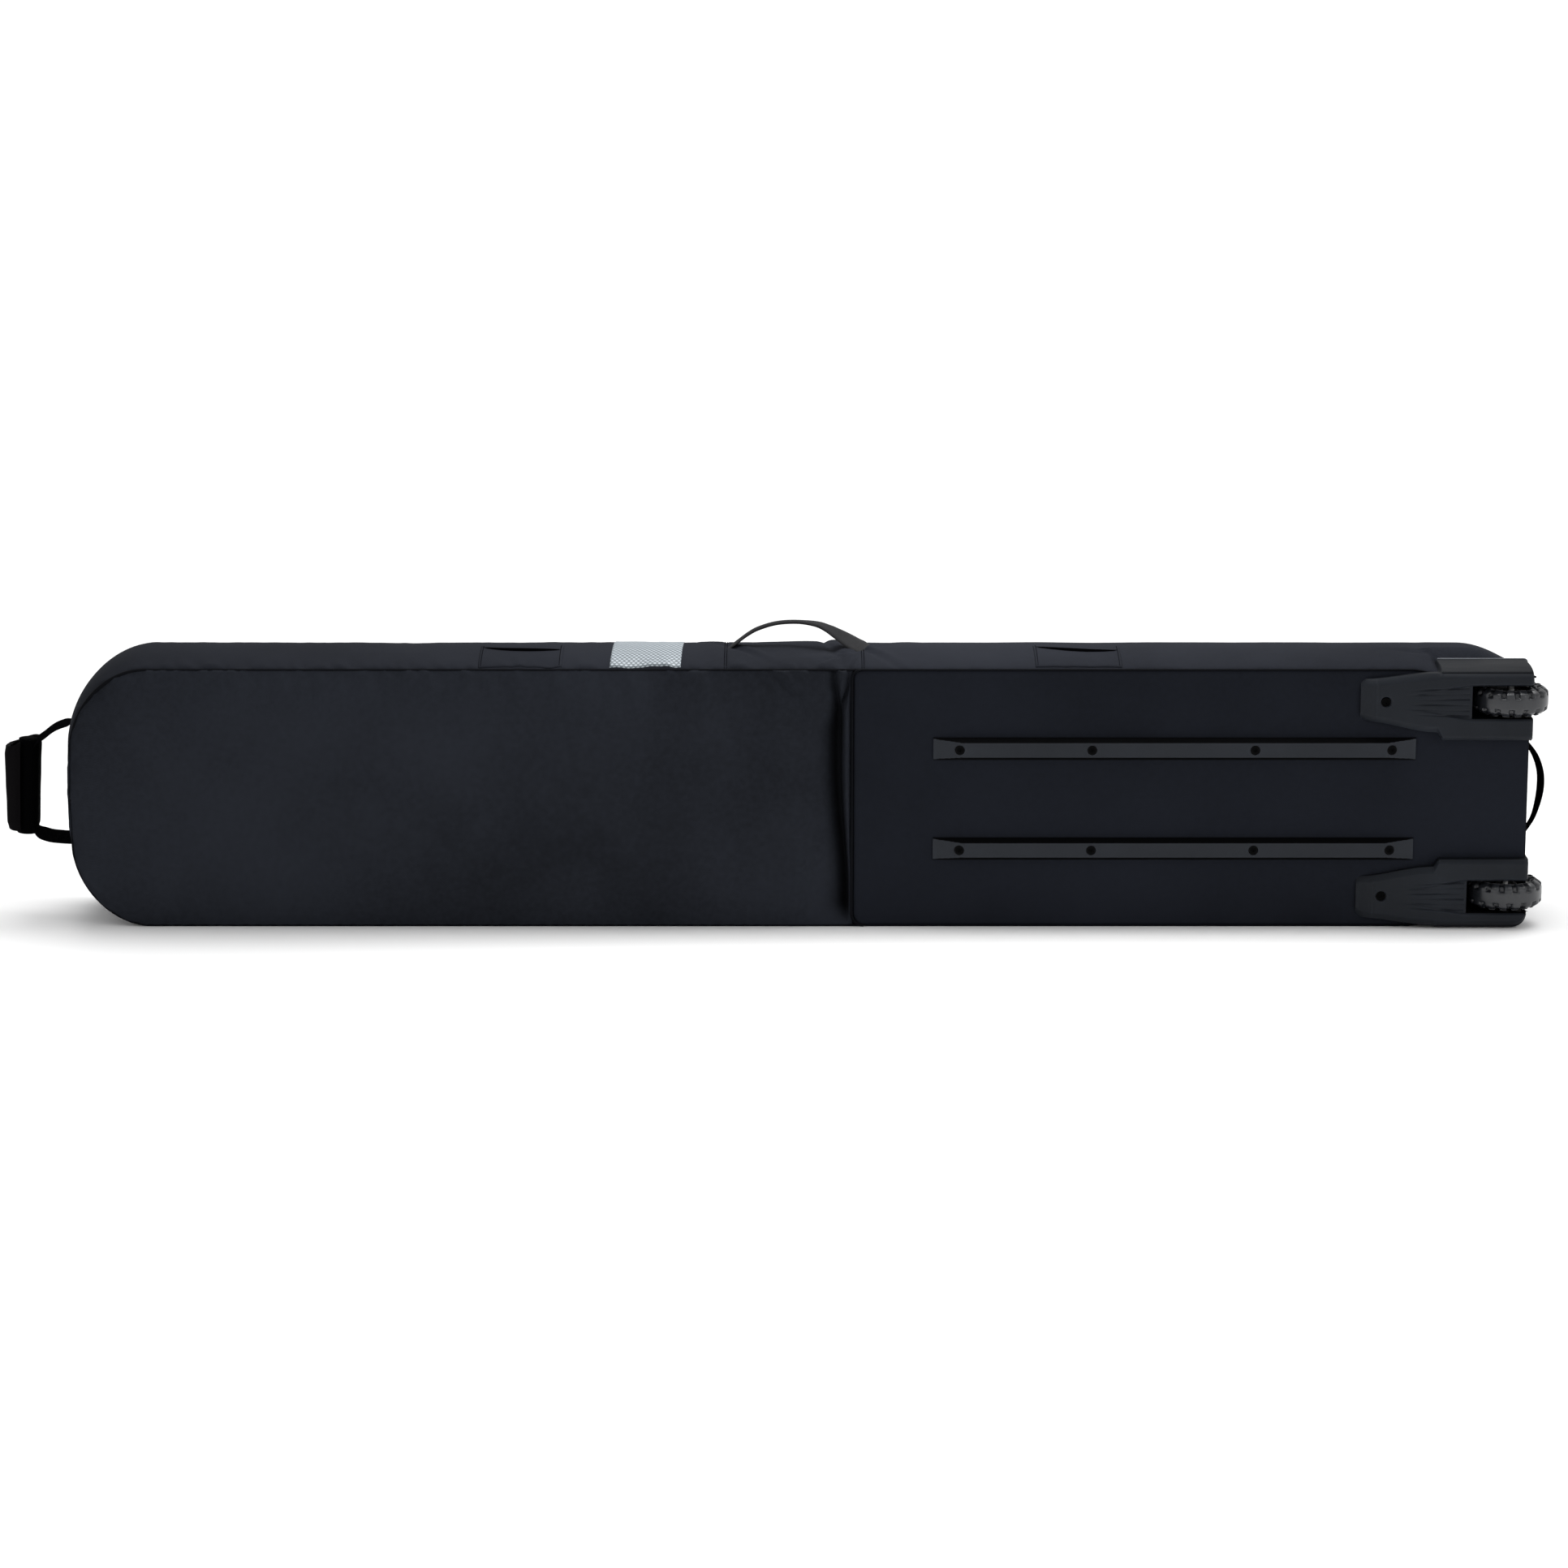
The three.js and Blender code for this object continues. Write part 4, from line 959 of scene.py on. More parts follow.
def add_tail_panel():
    rows, columns = 60, 34
    grid = np.empty((rows, columns, 3))
    for k, y in enumerate(SEAM_DEPTH * np.linspace(-1, 1, columns)):
        mix = float(towards_lid(y))
        end = TAIL_STEP + TAIL_FRONT_CORNER[1] * (1 - mix) + TAIL_BACK_CORNER[1] * mix
        z = np.linspace(end, TOP_Z - end, rows)
        rounded = SEAM_INSET * quarter_round(SEAM_DEPTH - abs(y), 9 * MM)
        waver = 0.8 * MM * noise_field(stacked(0, y, z), 0.06, seed=4.0)
        grid[:, k] = stacked(TAIL_X - SEAM_INSET + rounded + waver, y, z)
    obj = grid_object("tail_panel_skin", grid, "base", keep=outside_wells, flip=True)
    thicken(obj)
    place(obj, "bag", "base_fabric", "tail_panel", fill=0.2)


# ------------------------------------------------------------------ wheel housings


HOUSING_X = 0.728              # where the tongue widens into the part that wraps the corner
HOUSING_END_X = 0.8368
HOUSING_CORNERS = {True: 4 * MM, False: 16 * MM}   # radius at the end, upper and lower
HOUSING_FACE = 15 * MM         # how far the face stands proud of the base panel
HOUSING_TOP_Z = TOP_Z + 1.3 * MM
HOUSING_LOW_Z = 0.3 * MM
WRAP_Y = FRONT_Y + 47 * MM     # how far the housing reaches round the side and the end
TONGUE_X = 0.6405
WELL_X = 0.7665
WELL_FLOOR_Y = -7 * MM
WELL_NEAR = 19 * MM            # the well, measured in from the housing's outer edge
WELL_FAR = 57 * MM
WELL_MIDDLE = (WELL_NEAR + WELL_FAR) / 2
WELL_WALL = 2.6 * MM
HOUSING_SCREW_X = 0.669
SCREW_HOLLOW = 5.9 * MM        # radius of the hollow round a housing screw
FLANGE = 15 * MM               # the wrap's rear edge turns in this far
LIP_LOW_Z = 1.2 * MM


def housing_edges(x, upper):
    """Outer and inner edge of a housing at x, measured in from the bag's side."""
    outer = 12.5 * MM - 8 * MM * smooth(x, TONGUE_X, HOUSING_X)
    outer = outer + 5.5 * MM * (1 - smooth(x, TONGUE_X - 3 * MM, TONGUE_X + 7 * MM))
    outer = outer - 6.0 * MM * smooth(x, HOUSING_X + 0.5 * MM, HOUSING_X + 4.5 * MM)
    inner = 60.5 * MM + 12.5 * MM * smooth(x, TONGUE_X, HOUSING_X)
    inner = inner - 3.3 * MM * (1 - smooth(x, TONGUE_X - 3 * MM, TONGUE_X + 6 * MM))
    inner = inner + 9.0 * MM * smooth(x, HOUSING_X - 1 * MM, HOUSING_X + 7 * MM)
    corner = HOUSING_CORNERS[upper]
    return outer + corner * (1 - quarter_round(HOUSING_END_X - x, corner)), inner


def edge_round(x):
    """How far the face's outer edge is drawn in, to round over into the wrapped side."""
    return 6.5 * MM * smooth(x, HOUSING_X + 0.5 * MM, HOUSING_X + 5 * MM)


def housing_relief(x, v, outer, inner):
    """How far the housing's face stands in front of the base panel."""
    along = 4.0 * MM + 5.6 * MM * smooth(x, TONGUE_X, TONGUE_X + 17 * MM)
    along = along + 5.4 * MM * smooth(x, TONGUE_X + 10 * MM, HOUSING_X + 14 * MM)
    side = np.minimum(v - outer, inner - v)
    wide = smooth(x, HOUSING_X - 2 * MM, HOUSING_X + 6 * MM)
    slope = np.clip(1 - side / (7.0 * MM - 2.5 * MM * wide), 0, 1)
    chamfer = 4.2 * MM * (0.65 * slope + 0.35 * slope**2) * (1 - 0.15 * wide)
    end = np.clip(1 - (HOUSING_END_X - x) / (6 * MM), 0, 1)
    roll = 5.0 * MM * (1 - np.sqrt(1 - end**2 * 0.98))
    spread = 8.5 * MM + 11.5 * MM * smooth(x, 0.690, WELL_X + 8 * MM)
    hollow = 1 - smooth(np.abs(v - WELL_MIDDLE), spread - 1.2 * MM, spread + 1.2 * MM)
    sunk = 2.6 * MM * hollow * smooth(x, 0.683, 0.752)
    run = smooth(x, 0.694, 0.716) * (1 - smooth(x, WELL_X - 4 * MM, WELL_X - 2 * MM))
    phase = (v - WELL_MIDDLE) / (5.6 * MM * (1 + 0.16 * smooth(x, 0.694, WELL_X)))
    ragged = 0.55 + 0.45 * np.sin(2.3 * np.round(phase - 0.5) + 60 * (x - 0.694))
    inside = 1 - smooth(np.abs(phase), 2.95, 3.05)
    grooves = (0.5 + 0.5 * np.cos(2 * math.pi * (phase - 0.5))) ** 7
    flutes = 1.7 * MM * run * inside * ragged * grooves
    ridge = 0.8 * MM * bump(x, TONGUE_X + 18 * MM, 1.5 * MM) * (1 - slope)
    return along - chamfer - roll - sunk - flutes + ridge


def housing_columns():
    """Places along a housing, closer together where its shape changes."""
    tongue, end = TONGUE_X + 24 * MM, HOUSING_END_X - 20 * MM
    stops = (tongue, HOUSING_X - 4 * MM, HOUSING_X + 9 * MM, WELL_X, end)
    parts = [np.linspace(*pair, count) for *pair, count in zip(stops, stops[1:], (52, 30, 34, 34))]
    parts.append(TONGUE_X + 24 * MM * np.linspace(0, 1, 34) ** 1.4)
    parts.append(HOUSING_END_X - 20 * MM * (1 - np.linspace(0, 1, 34)) ** 1.5)
    return np.unique(np.concatenate(parts))


def housing_rows(x, upper):
    """Rows across a housing at x; two of them lie exactly on the edges of the well."""
    outer, inner = housing_edges(x, upper)
    outer = outer + edge_round(x)
    near = outer + (WELL_NEAR - outer) * np.linspace(0, 1, 22) ** 1.15
    far = WELL_FAR + (inner - WELL_FAR) * (1 - (1 - np.linspace(0, 1, 26)) ** 1.15)
    return np.concatenate([near, np.linspace(WELL_NEAR, WELL_FAR, 66)[1:], far[1:]])


def housing_wall(face, xs, drawn, upper):
    """The shell's sides: back from the face's edge, and turned in behind the wrapped part.
    Gives the rows of points, and which points of a row belong to the wrapped part."""
    rim = np.concatenate([face[:, 0], face[-1, 1:], face[::-1, -1], face[0, :0:-1]])
    ends = np.ones(face.shape[1] - 1)
    depth_at = np.concatenate([
        np.where(xs > HOUSING_X + 1 * MM, WRAP_Y, FRONT_Y),
        WRAP_Y * ends,
        np.where(xs[::-1] > TAIL_X, WRAP_Y, FRONT_Y + 0.3 * MM),
        FRONT_Y * ends,
    ])
    steps = np.linspace(0, 1, 15) ** 1.4
    wall = np.repeat(rim[None], len(steps) + 1, 0)
    wall[:-1, :, 1] = rim[:, 1] + steps[:, None] * (depth_at - rim[:, 1])
    over = np.zeros(len(rim))
    over[: len(xs)] = drawn
    over[len(xs) : len(xs) + 24] = drawn[-1] * np.linspace(1, 0, 24)
    outwards = 1 if upper else -1
    wall[:-1, :, 2] += outwards * over * quarter_round(steps, 0.55)[:, None]
    wall[-1] = wall[-2]
    wrapped = depth_at == WRAP_Y
    on_side = np.abs(wall[-2, :, 2] - MID_Z) > WHEEL_Z_OFFSET + 20 * MM
    wall[-1, :, 2] -= outwards * FLANGE * wrapped * on_side
    wall[-1, :, 0] -= FLANGE * wrapped * (wall[-2, :, 0] > HOUSING_END_X - 3 * MM)
    if not upper:
        wall[:, :, 2] = np.maximum(wall[:, :, 2], HOUSING_LOW_Z)
    return wall, wrapped


def add_housing(name, upper):
    def world(x, y, v):
        return stacked(x, y, HOUSING_TOP_Z - v if upper else v)

    def clear_of_well(start_x):
        """A test that refuses faces in the well's opening beyond start_x."""
        def keep(centre):
            v_here = HOUSING_TOP_Z - centre[2] if upper else centre[2]
            return not (centre[0] > start_x and WELL_NEAR < v_here < WELL_FAR)
        return keep

    # the well's walls take a near-black copy of the housing plastic: painted shade in the well
    def well_part(kind, points, flip):
        obj = grid_object(f"{kind}_{name}", points, "well", flip=flip)
        thicken(obj, WELL_WALL)
        place(obj, "bag", "housing_plastic")

    xs = housing_columns()
    v = np.stack([housing_rows(float(x), upper) for x in xs])
    x = np.repeat(xs[:, None], v.shape[1], 1)
    outer, inner = housing_edges(x, upper)
    drawn = edge_round(x)
    screw_gap = np.hypot(x - HOUSING_SCREW_X, v - WELL_MIDDLE)
    hollow = 5.5 * MM * (1 - smooth(screw_gap, SCREW_HOLLOW - 0.9 * MM, SCREW_HOLLOW + 0.3 * MM))
    y = FRONT_Y - housing_relief(x, v, outer + drawn, inner) + hollow
    face = world(x, y, v if upper else np.maximum(v, HOUSING_LOW_Z))
    keep = clear_of_well(WELL_X)
    shown = grid_object(f"housing_face_{name}", face, "housing", keep=keep, flip=upper)
    place(shown, "bag", "housing_plastic", f"wheel_housing_{name}")

    wall, wrapped = housing_wall(face, xs, drawn[:, 0], upper)
    lip = wall[-2][wrapped][: len(xs) + v.shape[1] - 1]
    lip = lip[lip[:, 0] > HOUSING_X + 5 * MM]
    lip[:, 2] = np.maximum(lip[:, 2], LIP_LOW_Z)
    beyond_well = np.abs(lip[:, 2] - MID_Z) > MID_Z - WELL_NEAR
    path = curve_points(lip[beyond_well][::3], 90)
    # a pale bead along the lip: painted highlight on the housing's rim
    bead = tube_object(f"housing_rim_{name}", path, 1.1 * MM, "housing_rim", sides=8)
    place(bead, "bag", "housing_plastic")

    keep = clear_of_well(HOUSING_END_X - FLANGE)
    closed = (False, True)
    # the side walls take the darker copy of the housing plastic: painted shade
    side = grid_object(f"housing_wall_{name}", wall, "housing_side", closed, keep, flip=upper)
    thicken(side)
    place(side, "bag", "housing_plastic")

    def depth(share, inset):
        start = FRONT_Y - HOUSING_FACE + inset
        return start + (WELL_FLOOR_Y - start) * share

    around = np.linspace(0, 3, 43)
    corners = range(4)
    across = np.interp(around, corners, (WELL_NEAR, WELL_NEAR, WELL_FAR, WELL_FAR))
    down = np.interp(around, corners, (0, 1, 1, 0))
    along = np.linspace(WELL_X, HOUSING_END_X - 1.2 * MM, 26)[:, None]
    well_part("wheel_well", world(along, depth(down, 2.4 * MM), across), flip=upper)
    rows = np.linspace(WELL_NEAR, WELL_FAR, 20)[:, None]
    end_wall = world(WELL_X, depth(np.linspace(0, 1, 20), 3.2 * MM), rows)
    well_part("wheel_well_end", end_wall, flip=not upper)


# ------------------------------------------------------------------ skid rails

RAIL_START_X, RAIL_END_X = 0.154, 0.705
RAIL_SCREWS_X = (0.184, 0.335, 0.521, 0.677)
RAIL_HALF = 13 * MM
RAIL_FACE_HALF = 8.4 * MM
RAIL_HEIGHT = 11 * MM
RAIL_FOOT = 1.8 * MM           # height of a rail's flanks at their foot
RAIL_TIP = 2.6 * MM            # height of a rail's ends
RAIL_SLOPE = 34 * MM
COUNTERBORE = 5.5 * MM
COUNTERBORE_DEPTH = 3.6 * MM
RAIL_RECESS = 4.6 * MM         # radius of the painted shade ring round a rail screw
# radius of the painted shade ring round a housing screw
HOUSING_RECESS = 5.0 * MM


def add_rail(name):
    """A skid rail: a bar with steep sides and sloping ends, and a counterbore for each screw."""
    low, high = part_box(f"rail_{name}")
    middle = (low.z + high.z) / 2
    stations = [np.linspace(RAIL_START_X, RAIL_END_X, 170)]
    stations += [np.linspace(x - 7 * MM, x + 7 * MM, 36) for x in RAIL_SCREWS_X]
    xs = np.unique(np.round(np.concatenate(stations), 5))
    flank = np.linspace(RAIL_FACE_HALF, RAIL_HALF, 9)
    face = np.linspace(-RAIL_FACE_HALF, RAIL_FACE_HALF, 45)[1:-1]
    x, v = np.meshgrid(xs, np.concatenate([-flank[::-1], face, flank]), indexing="ij")
    slope = np.clip((RAIL_HALF - np.abs(v)) / (RAIL_HALF - RAIL_FACE_HALF), 0, 1)
    side = RAIL_FOOT + (RAIL_HEIGHT - RAIL_FOOT) * slope
    from_end = np.minimum(x - RAIL_START_X, RAIL_END_X - x)
    end = RAIL_TIP + (RAIL_HEIGHT - RAIL_TIP) * np.clip(from_end / RAIL_SLOPE, 0, 1)
    height = np.minimum(side, end)
    for screw_x in RAIL_SCREWS_X:
        away = np.hypot(x - screw_x, v)
        sunk = 1 - smooth(away, COUNTERBORE - 0.5 * MM, COUNTERBORE + 0.1 * MM)
        height = height - COUNTERBORE_DEPTH * sunk
    foot = FRONT_Y - 0.3 * MM
    points = np.pad(stacked(x, foot - height, middle + v), ((1, 1), (1, 1), (0, 0)), "edge")
    points[[0, -1], :, 1] = foot
    points[:, [0, -1], 1] = foot

    # the steep flanks, which take a near-black copy of the rail plastic: painted shade
    def dark(centre):
        from_middle = abs(centre[2] - middle)
        rise = (foot - centre[1] - RAIL_FOOT) / RAIL_HEIGHT
        limit = RAIL_HALF - rise * (RAIL_HALF - RAIL_FACE_HALF)
        return from_middle > RAIL_FACE_HALF + 0.1 * MM and from_middle > limit - 0.9 * MM

    for part, chosen, material, nodes in (
        ("face", lambda c: not dark(c), "rail", (f"rail_{name}",)),
        ("flanks", dark, "rail_side", ()),
    ):
        obj = grid_object(f"skid_rail_{name}_{part}", points, material, keep=chosen)
        obj.data.shade_flat()
        place(obj, "bag", "rail_plastic", *nodes)


def add_screw_recess(node, radius):
    """A near-black ring round a screw head in its counterbore: painted shade."""
    low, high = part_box(node)
    centre = (low + high) / 2
    turns = np.linspace(0, 2 * math.pi, 32, endpoint=False)
    y = low.y + 0.6 * MM
    path = stacked(centre.x + radius * np.cos(turns), y, centre.z + radius * np.sin(turns))
    shade_ring = tube_object(f"recess_{node}", path, 0.9 * MM, "well", closed=True)
    place(shade_ring, "bag", "rail_plastic")


# ------------------------------------------------------------------ tyres

WHEEL_X = 0.815
WHEEL_Y = -54 * MM
TYRE_RADIUS = 43 * MM
TYRE_HALF = 15.5 * MM
LUGS = 16
LUG_DEPTH = 5.4 * MM
TYRE_SIDE = (      # radius and half width in millimetres, from the shoulder in to the bore
    (36.0, 15.4), (34.0, 14.3), (32.5, 13.9), (30.5, 13.4), (28.6, 12.4), (27.4, 11.0), (27.4, 5.0),
)


def add_tyre(name, z, phase):
    turns = np.linspace(0, 2 * math.pi, 272, endpoint=False)
    profile = []
    for a in np.linspace(-1, 1, 41):
        w = math.copysign(abs(a) ** 0.8, a)
        drop = 1.2 * w**2 + 7.5 * (max(0.0, abs(w) - 0.62) / 0.38) ** 1.6
        profile.append((TYRE_RADIUS - drop * MM, w * TYRE_HALF, w))
    profile += [(r * MM, h * MM, 1.0) for r, h in TYRE_SIDE]
    profile += [(r * MM, -h * MM, -1.0) for r, h in reversed(TYRE_SIDE)]
    points = np.empty((len(turns), len(profile), 3))
    for k, (radius, height, w) in enumerate(profile):
        stagger = 0.0 if w > 0 else math.pi
        wave = np.cos(LUGS * turns + stagger + 0.5 * w)
        groove = smooth(wave, 0.15, 0.65)
        shoulder = smooth(abs(w), 0.36, 0.50) if radius > 30 * MM else 0.0
        reach = groove * shoulder * smooth(radius, 31 * MM, 36 * MM)
        sink = 1.6 * MM * reach * math.copysign(1, w) if abs(w) > 0.8 else 0.0
        r = radius - LUG_DEPTH * reach - 0.3 * MM * (1 - wave**2) * shoulder
        x, y = WHEEL_X + r * np.cos(turns + phase), WHEEL_Y + r * np.sin(turns + phase)
        points[:, k] = stacked(x, y, z + height - sink)
    obj = grid_object(f"tyre_tread_{name}", points, "tyre", closed=(True, True))
    place(obj, f"wheel_{name}", "tyre_urethane", f"tyre_{name}")


# ------------------------------------------------------------------ ribbons and handles


def ribbon_object(name, path, width, thickness, across, material):
    """Flat webbing along a path: width, thickness and the direction across vary along it."""
    path = np.asarray(path, float)
    width, thickness = (np.broadcast_to(size, len(path))[:, None] for size in (width, thickness))
    across = np.broadcast_to(np.asarray(across, float), path.shape)
    tangents = np.gradient(path, axis=0)
    tangents /= np.linalg.norm(tangents, axis=1, keepdims=True)
    side = across - tangents * np.sum(across * tangents, 1, keepdims=True)
    side /= np.linalg.norm(side, axis=1, keepdims=True)
    up = np.cross(side, tangents)
    section = [(s, math.sqrt(1 - abs(s) ** 6) * 0.98 + 0.02) for s in np.linspace(-1, 1, 9)]
    loop = section + [(s, -h) for s, h in reversed(section)]
    rings = [path + side * (s * width / 2) + up * (h * thickness / 2) for s, h in loop]
    obj = grid_object(name, np.stack(rings, 1), material, closed=(False, True))
    close_ends(obj)
    return obj


def middle_curve(points, count):
    """A curve in the bag's middle plane through points given as X and Z in millimetres."""
    return curve_points([(x * MM, 0.0, z * MM) for x, z in points], count)


THREAD = 0.42 * MM


def stitch_row(name, path, body, normal, pitch=3.4 * MM, length=2.3 * MM):
    """A row of stitches lying on a surface along a path."""
    lengths = lengths_along(path)
    stitches = []
    for i in range(max(2, int(lengths[-1] / pitch))):
        middle = (i + 0.5) * pitch
        a, b = (point_at(path, lengths, middle + d) for d in (-length / 2, length / 2))
        along = (b - a) / max(np.linalg.norm(b - a), 1e-9)
        side = np.cross(along, normal)
        side /= max(np.linalg.norm(side), 1e-9)
        up = np.cross(side, along)
        rings = []
        for t, share in ((0.0, 0.35), (0.25, 1.0), (0.75, 1.0), (1.0, 0.35)):
            arch = up * THREAD * (0.15 + 0.5 * math.sin(math.pi * t))
            rings.append((a + (b - a) * t + arch, THREAD * share))
        stitches.append((rings, side, up))
    place(capsules_object(name, stitches, "thread"), body, "webbing")


def add_carry_handle():
    points = [
        (-92, 309.6), (-84, 310.6), (-78, 314.0), (-69.5, 320.5), (-58, 329.0), (-46, 335.6),
        (-26, 341.6), (-2, 343.2), (20, 340.6), (34, 335.2), (48, 327.0), (62, 318.6), (72, 313.4),
        (82, 311.2), (92, 310.4),
    ]
    path = middle_curve(points, 90)
    t = np.linspace(0, 1, len(path))
    width = 19 * MM - 8 * MM * smooth(t, 0.10, 0.32) + 13 * MM * smooth(t, 0.58, 0.86)
    thickness = 2.6 * MM + 1.4 * MM * smooth(t, 0.12, 0.3) * (1 - smooth(t, 0.6, 0.85))
    twist = 0.62 * smooth(t, 0.50, 0.72) * (1 - smooth(t, 0.90, 0.99))
    across = stacked(0.25 * np.sin(twist), np.cos(twist), np.sin(twist))
    sag = noise_field(path, 30 * MM, seed=2.0)
    path[:, 1] += 1.2 * MM * sag * smooth(t, 0, 0.2) * (1 - smooth(t, 0.8, 1))
    obj = ribbon_object("carry_handle_strap", path, width, thickness, across, "strap")
    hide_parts("carry_handle", "carry_handle_anchor_nose", "carry_handle_anchor_tail")
    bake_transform(obj)


def add_nose_handle():
    points = [
        (-836, 228.5), (-843, 226.0), (-852, 223.5), (-862, 219.0), (-872, 211.5), (-884, 201.0),
        (-892, 180.0), (-894, 153.0), (-893, 128.0), (-890, 108.0), (-884, 97.0), (-872, 91.5),
        (-858, 89.5), (-846, 88.8), (-836, 88.4),
    ]
    path = middle_curve(points, 110)
    t = np.linspace(0, 1, len(path))
    twist = 0.46 * smooth(t, 0.70, 0.80) + 0.24 * smooth(t, 0.02, 0.06) * (1 - smooth(t, 0.22, 0.34))
    across = stacked(0, np.cos(twist), np.sin(twist))
    obj = ribbon_object("nose_handle_strap", path, 25 * MM, 3.4 * MM, across, "webbing")
    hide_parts("nose_handle_webbing", "nose_handle_tab_upper", "nose_handle_tab_lower")
    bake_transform(obj)


GRIP_CENTRE = np.array((-0.8995, 0.001))
GRIP_SECTION = (      # a thick pad wrapped round the strap, its near edge free
    (-0.9005, -0.0185, 0), (-0.9080, -0.0195, 0), (-0.9165, -0.0165, 0), (-0.9192, -0.0060, 0),
    (-0.9192, 0.0060, 0), (-0.9165, 0.0165, 0), (-0.9060, 0.0200, 0), (-0.8940, 0.0200, 0),
    (-0.8860, 0.0185, 0), (-0.8810, 0.0150, 0),
)


def add_grip():
    section = curve_points(GRIP_SECTION, 96)[:, :2]
    rows = 56
    grid = np.empty((rows, len(section), 3))
    share = (section[:, 0] - section[:, 0].min()) / np.ptp(section[:, 0])
    top = 0.1995 + 0.0085 * smooth(share, 0.0, 0.9)
    bottom = 0.1020 - 0.0060 * share
    around = lengths_along(section)
    spokes = section - GRIP_CENTRE
    out = spokes / np.linalg.norm(spokes, axis=1, keepdims=True)
    for i, t in enumerate(np.linspace(0, 1, rows)):
        z = bottom + (top - bottom) * t
        end = 1 - smooth(t, 0.0, 0.10) + smooth(t, 0.90, 1.0)
        gather = noise_field(stacked(around * 1.6, z * 0.5, 0), 9 * MM, seed=7.0) * 1.3 * MM * end
        slack = noise_field(stacked(around, z, 0), 30 * MM, seed=9.0) * 0.9 * MM
        lean = share * (2.5 * MM * t - 3.5 * MM * (1 - t))
        x, y = (GRIP_CENTRE + spokes * (1 - 0.10 * end) + out * (gather + slack)[:, None]).T
        grid[i] = stacked(x + lean, y, z)
    obj = grid_object("nose_handle_pad", grid, "grip")
    thicken(obj, 4.6 * MM)
    soften(obj, 1.4 * MM, 3, 50)
    place(obj, "nose_handle", "grip_foam", "nose_handle_grip", fill=0.5)
    # a near-black core fills the pad's hollow: painted shade inside the grip
    core_path = np.linspace((-0.8965, 0.0, 0.0955), (-0.8909, 0.0, 0.2065), 30)
    core = tube_object("nose_handle_core", core_path, 13.5 * MM, "core", sides=32, flat=0.9)
    place(core, "nose_handle", "grip_foam", fill=0.7)


def add_tail_handle():
    points = [
        (836.5, 212.0), (839.0, 206.0), (845.5, 199.0), (854.0, 187.0), (860.0, 171.0), (861.8, 155.0),
        (860.2, 137.0), (855.0, 116.0), (848.5, 103.0), (840.5, 92.0), (836.5, 84.0),
    ]
    path = middle_curve(points, 70)
    t = np.linspace(0, 1, len(path))
    twist = 0.08 - 0.36 * (1 - smooth(t, 0.45, 0.90))
    across = stacked(np.sin(twist), np.cos(twist), 0)
    obj = ribbon_object("tail_handle_strap", path, 20 * MM, 2.8 * MM, across, "webbing")
    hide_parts("tail_handle", "tail_handle_tab_upper", "tail_handle_tab_lower")
    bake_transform(obj)


# ------------------------------------------------------------------ patches and stitching

TOP_START = TAIL_CORNER_STEPS + LONG_STEPS + 2 * CORNER_STEPS + NOSE_STEPS
TOP_ROWS = slice(TOP_START, TOP_START + LONG_STEPS)
PATCH_FRONT_Y = FRONT_Y + 3.5 * MM
SLEEVES_X = (("nose", -0.3655, -0.2700), ("tail", 0.2700, 0.3690))


def gusset_surface(xs, ys):
    """Heights of the upper gusset over a grid of places."""
    rows = GUSSET_GRID[TOP_ROWS]
    columns = []
    for k in range(rows.shape[1]):
        order = np.argsort(rows[:, k, 0])
        columns.append(np.interp(xs, rows[order, k, 0], rows[order, k, 2]))
    columns = np.array(columns)
    y_rows = rows[0, :, 1]
    return np.array([[np.interp(y, y_rows, columns[:, i]) for y in ys] for i in range(len(xs))])


def add_patch(name, node, slot, material, low_x, high_x, high_y, lift, skew=0.0):
    """A thin piece sewn on the upper gusset; skew slants its ends."""
    xs = np.linspace(low_x, high_x, 60)
    ys = np.linspace(PATCH_FRONT_Y, high_y, 44)
    from_end = np.minimum(xs - low_x, high_x - xs)[:, None]
    edge = np.minimum(from_end, np.minimum(ys - ys[0], high_y - ys))
    rise = lift * np.sqrt(np.clip(edge / (1.6 * MM), 0, 1)) + 0.25 * MM
    points = stacked(xs[:, None] + skew * (ys - ys[0]), ys, gusset_surface(xs, ys) + rise)
    obj = grid_object(name, points, material)
    thicken(obj, 0.9 * MM)
    place(obj, "bag", slot, node)


def on_gusset(xs, ys, lift):
    """Points on the upper gusset, one for each pair of xs and ys."""
    pairs = zip(*np.broadcast_arrays(xs, ys))
    return np.array([(x, y, gusset_surface(np.array([x]), [y])[0][0] + lift) for x, y in pairs])


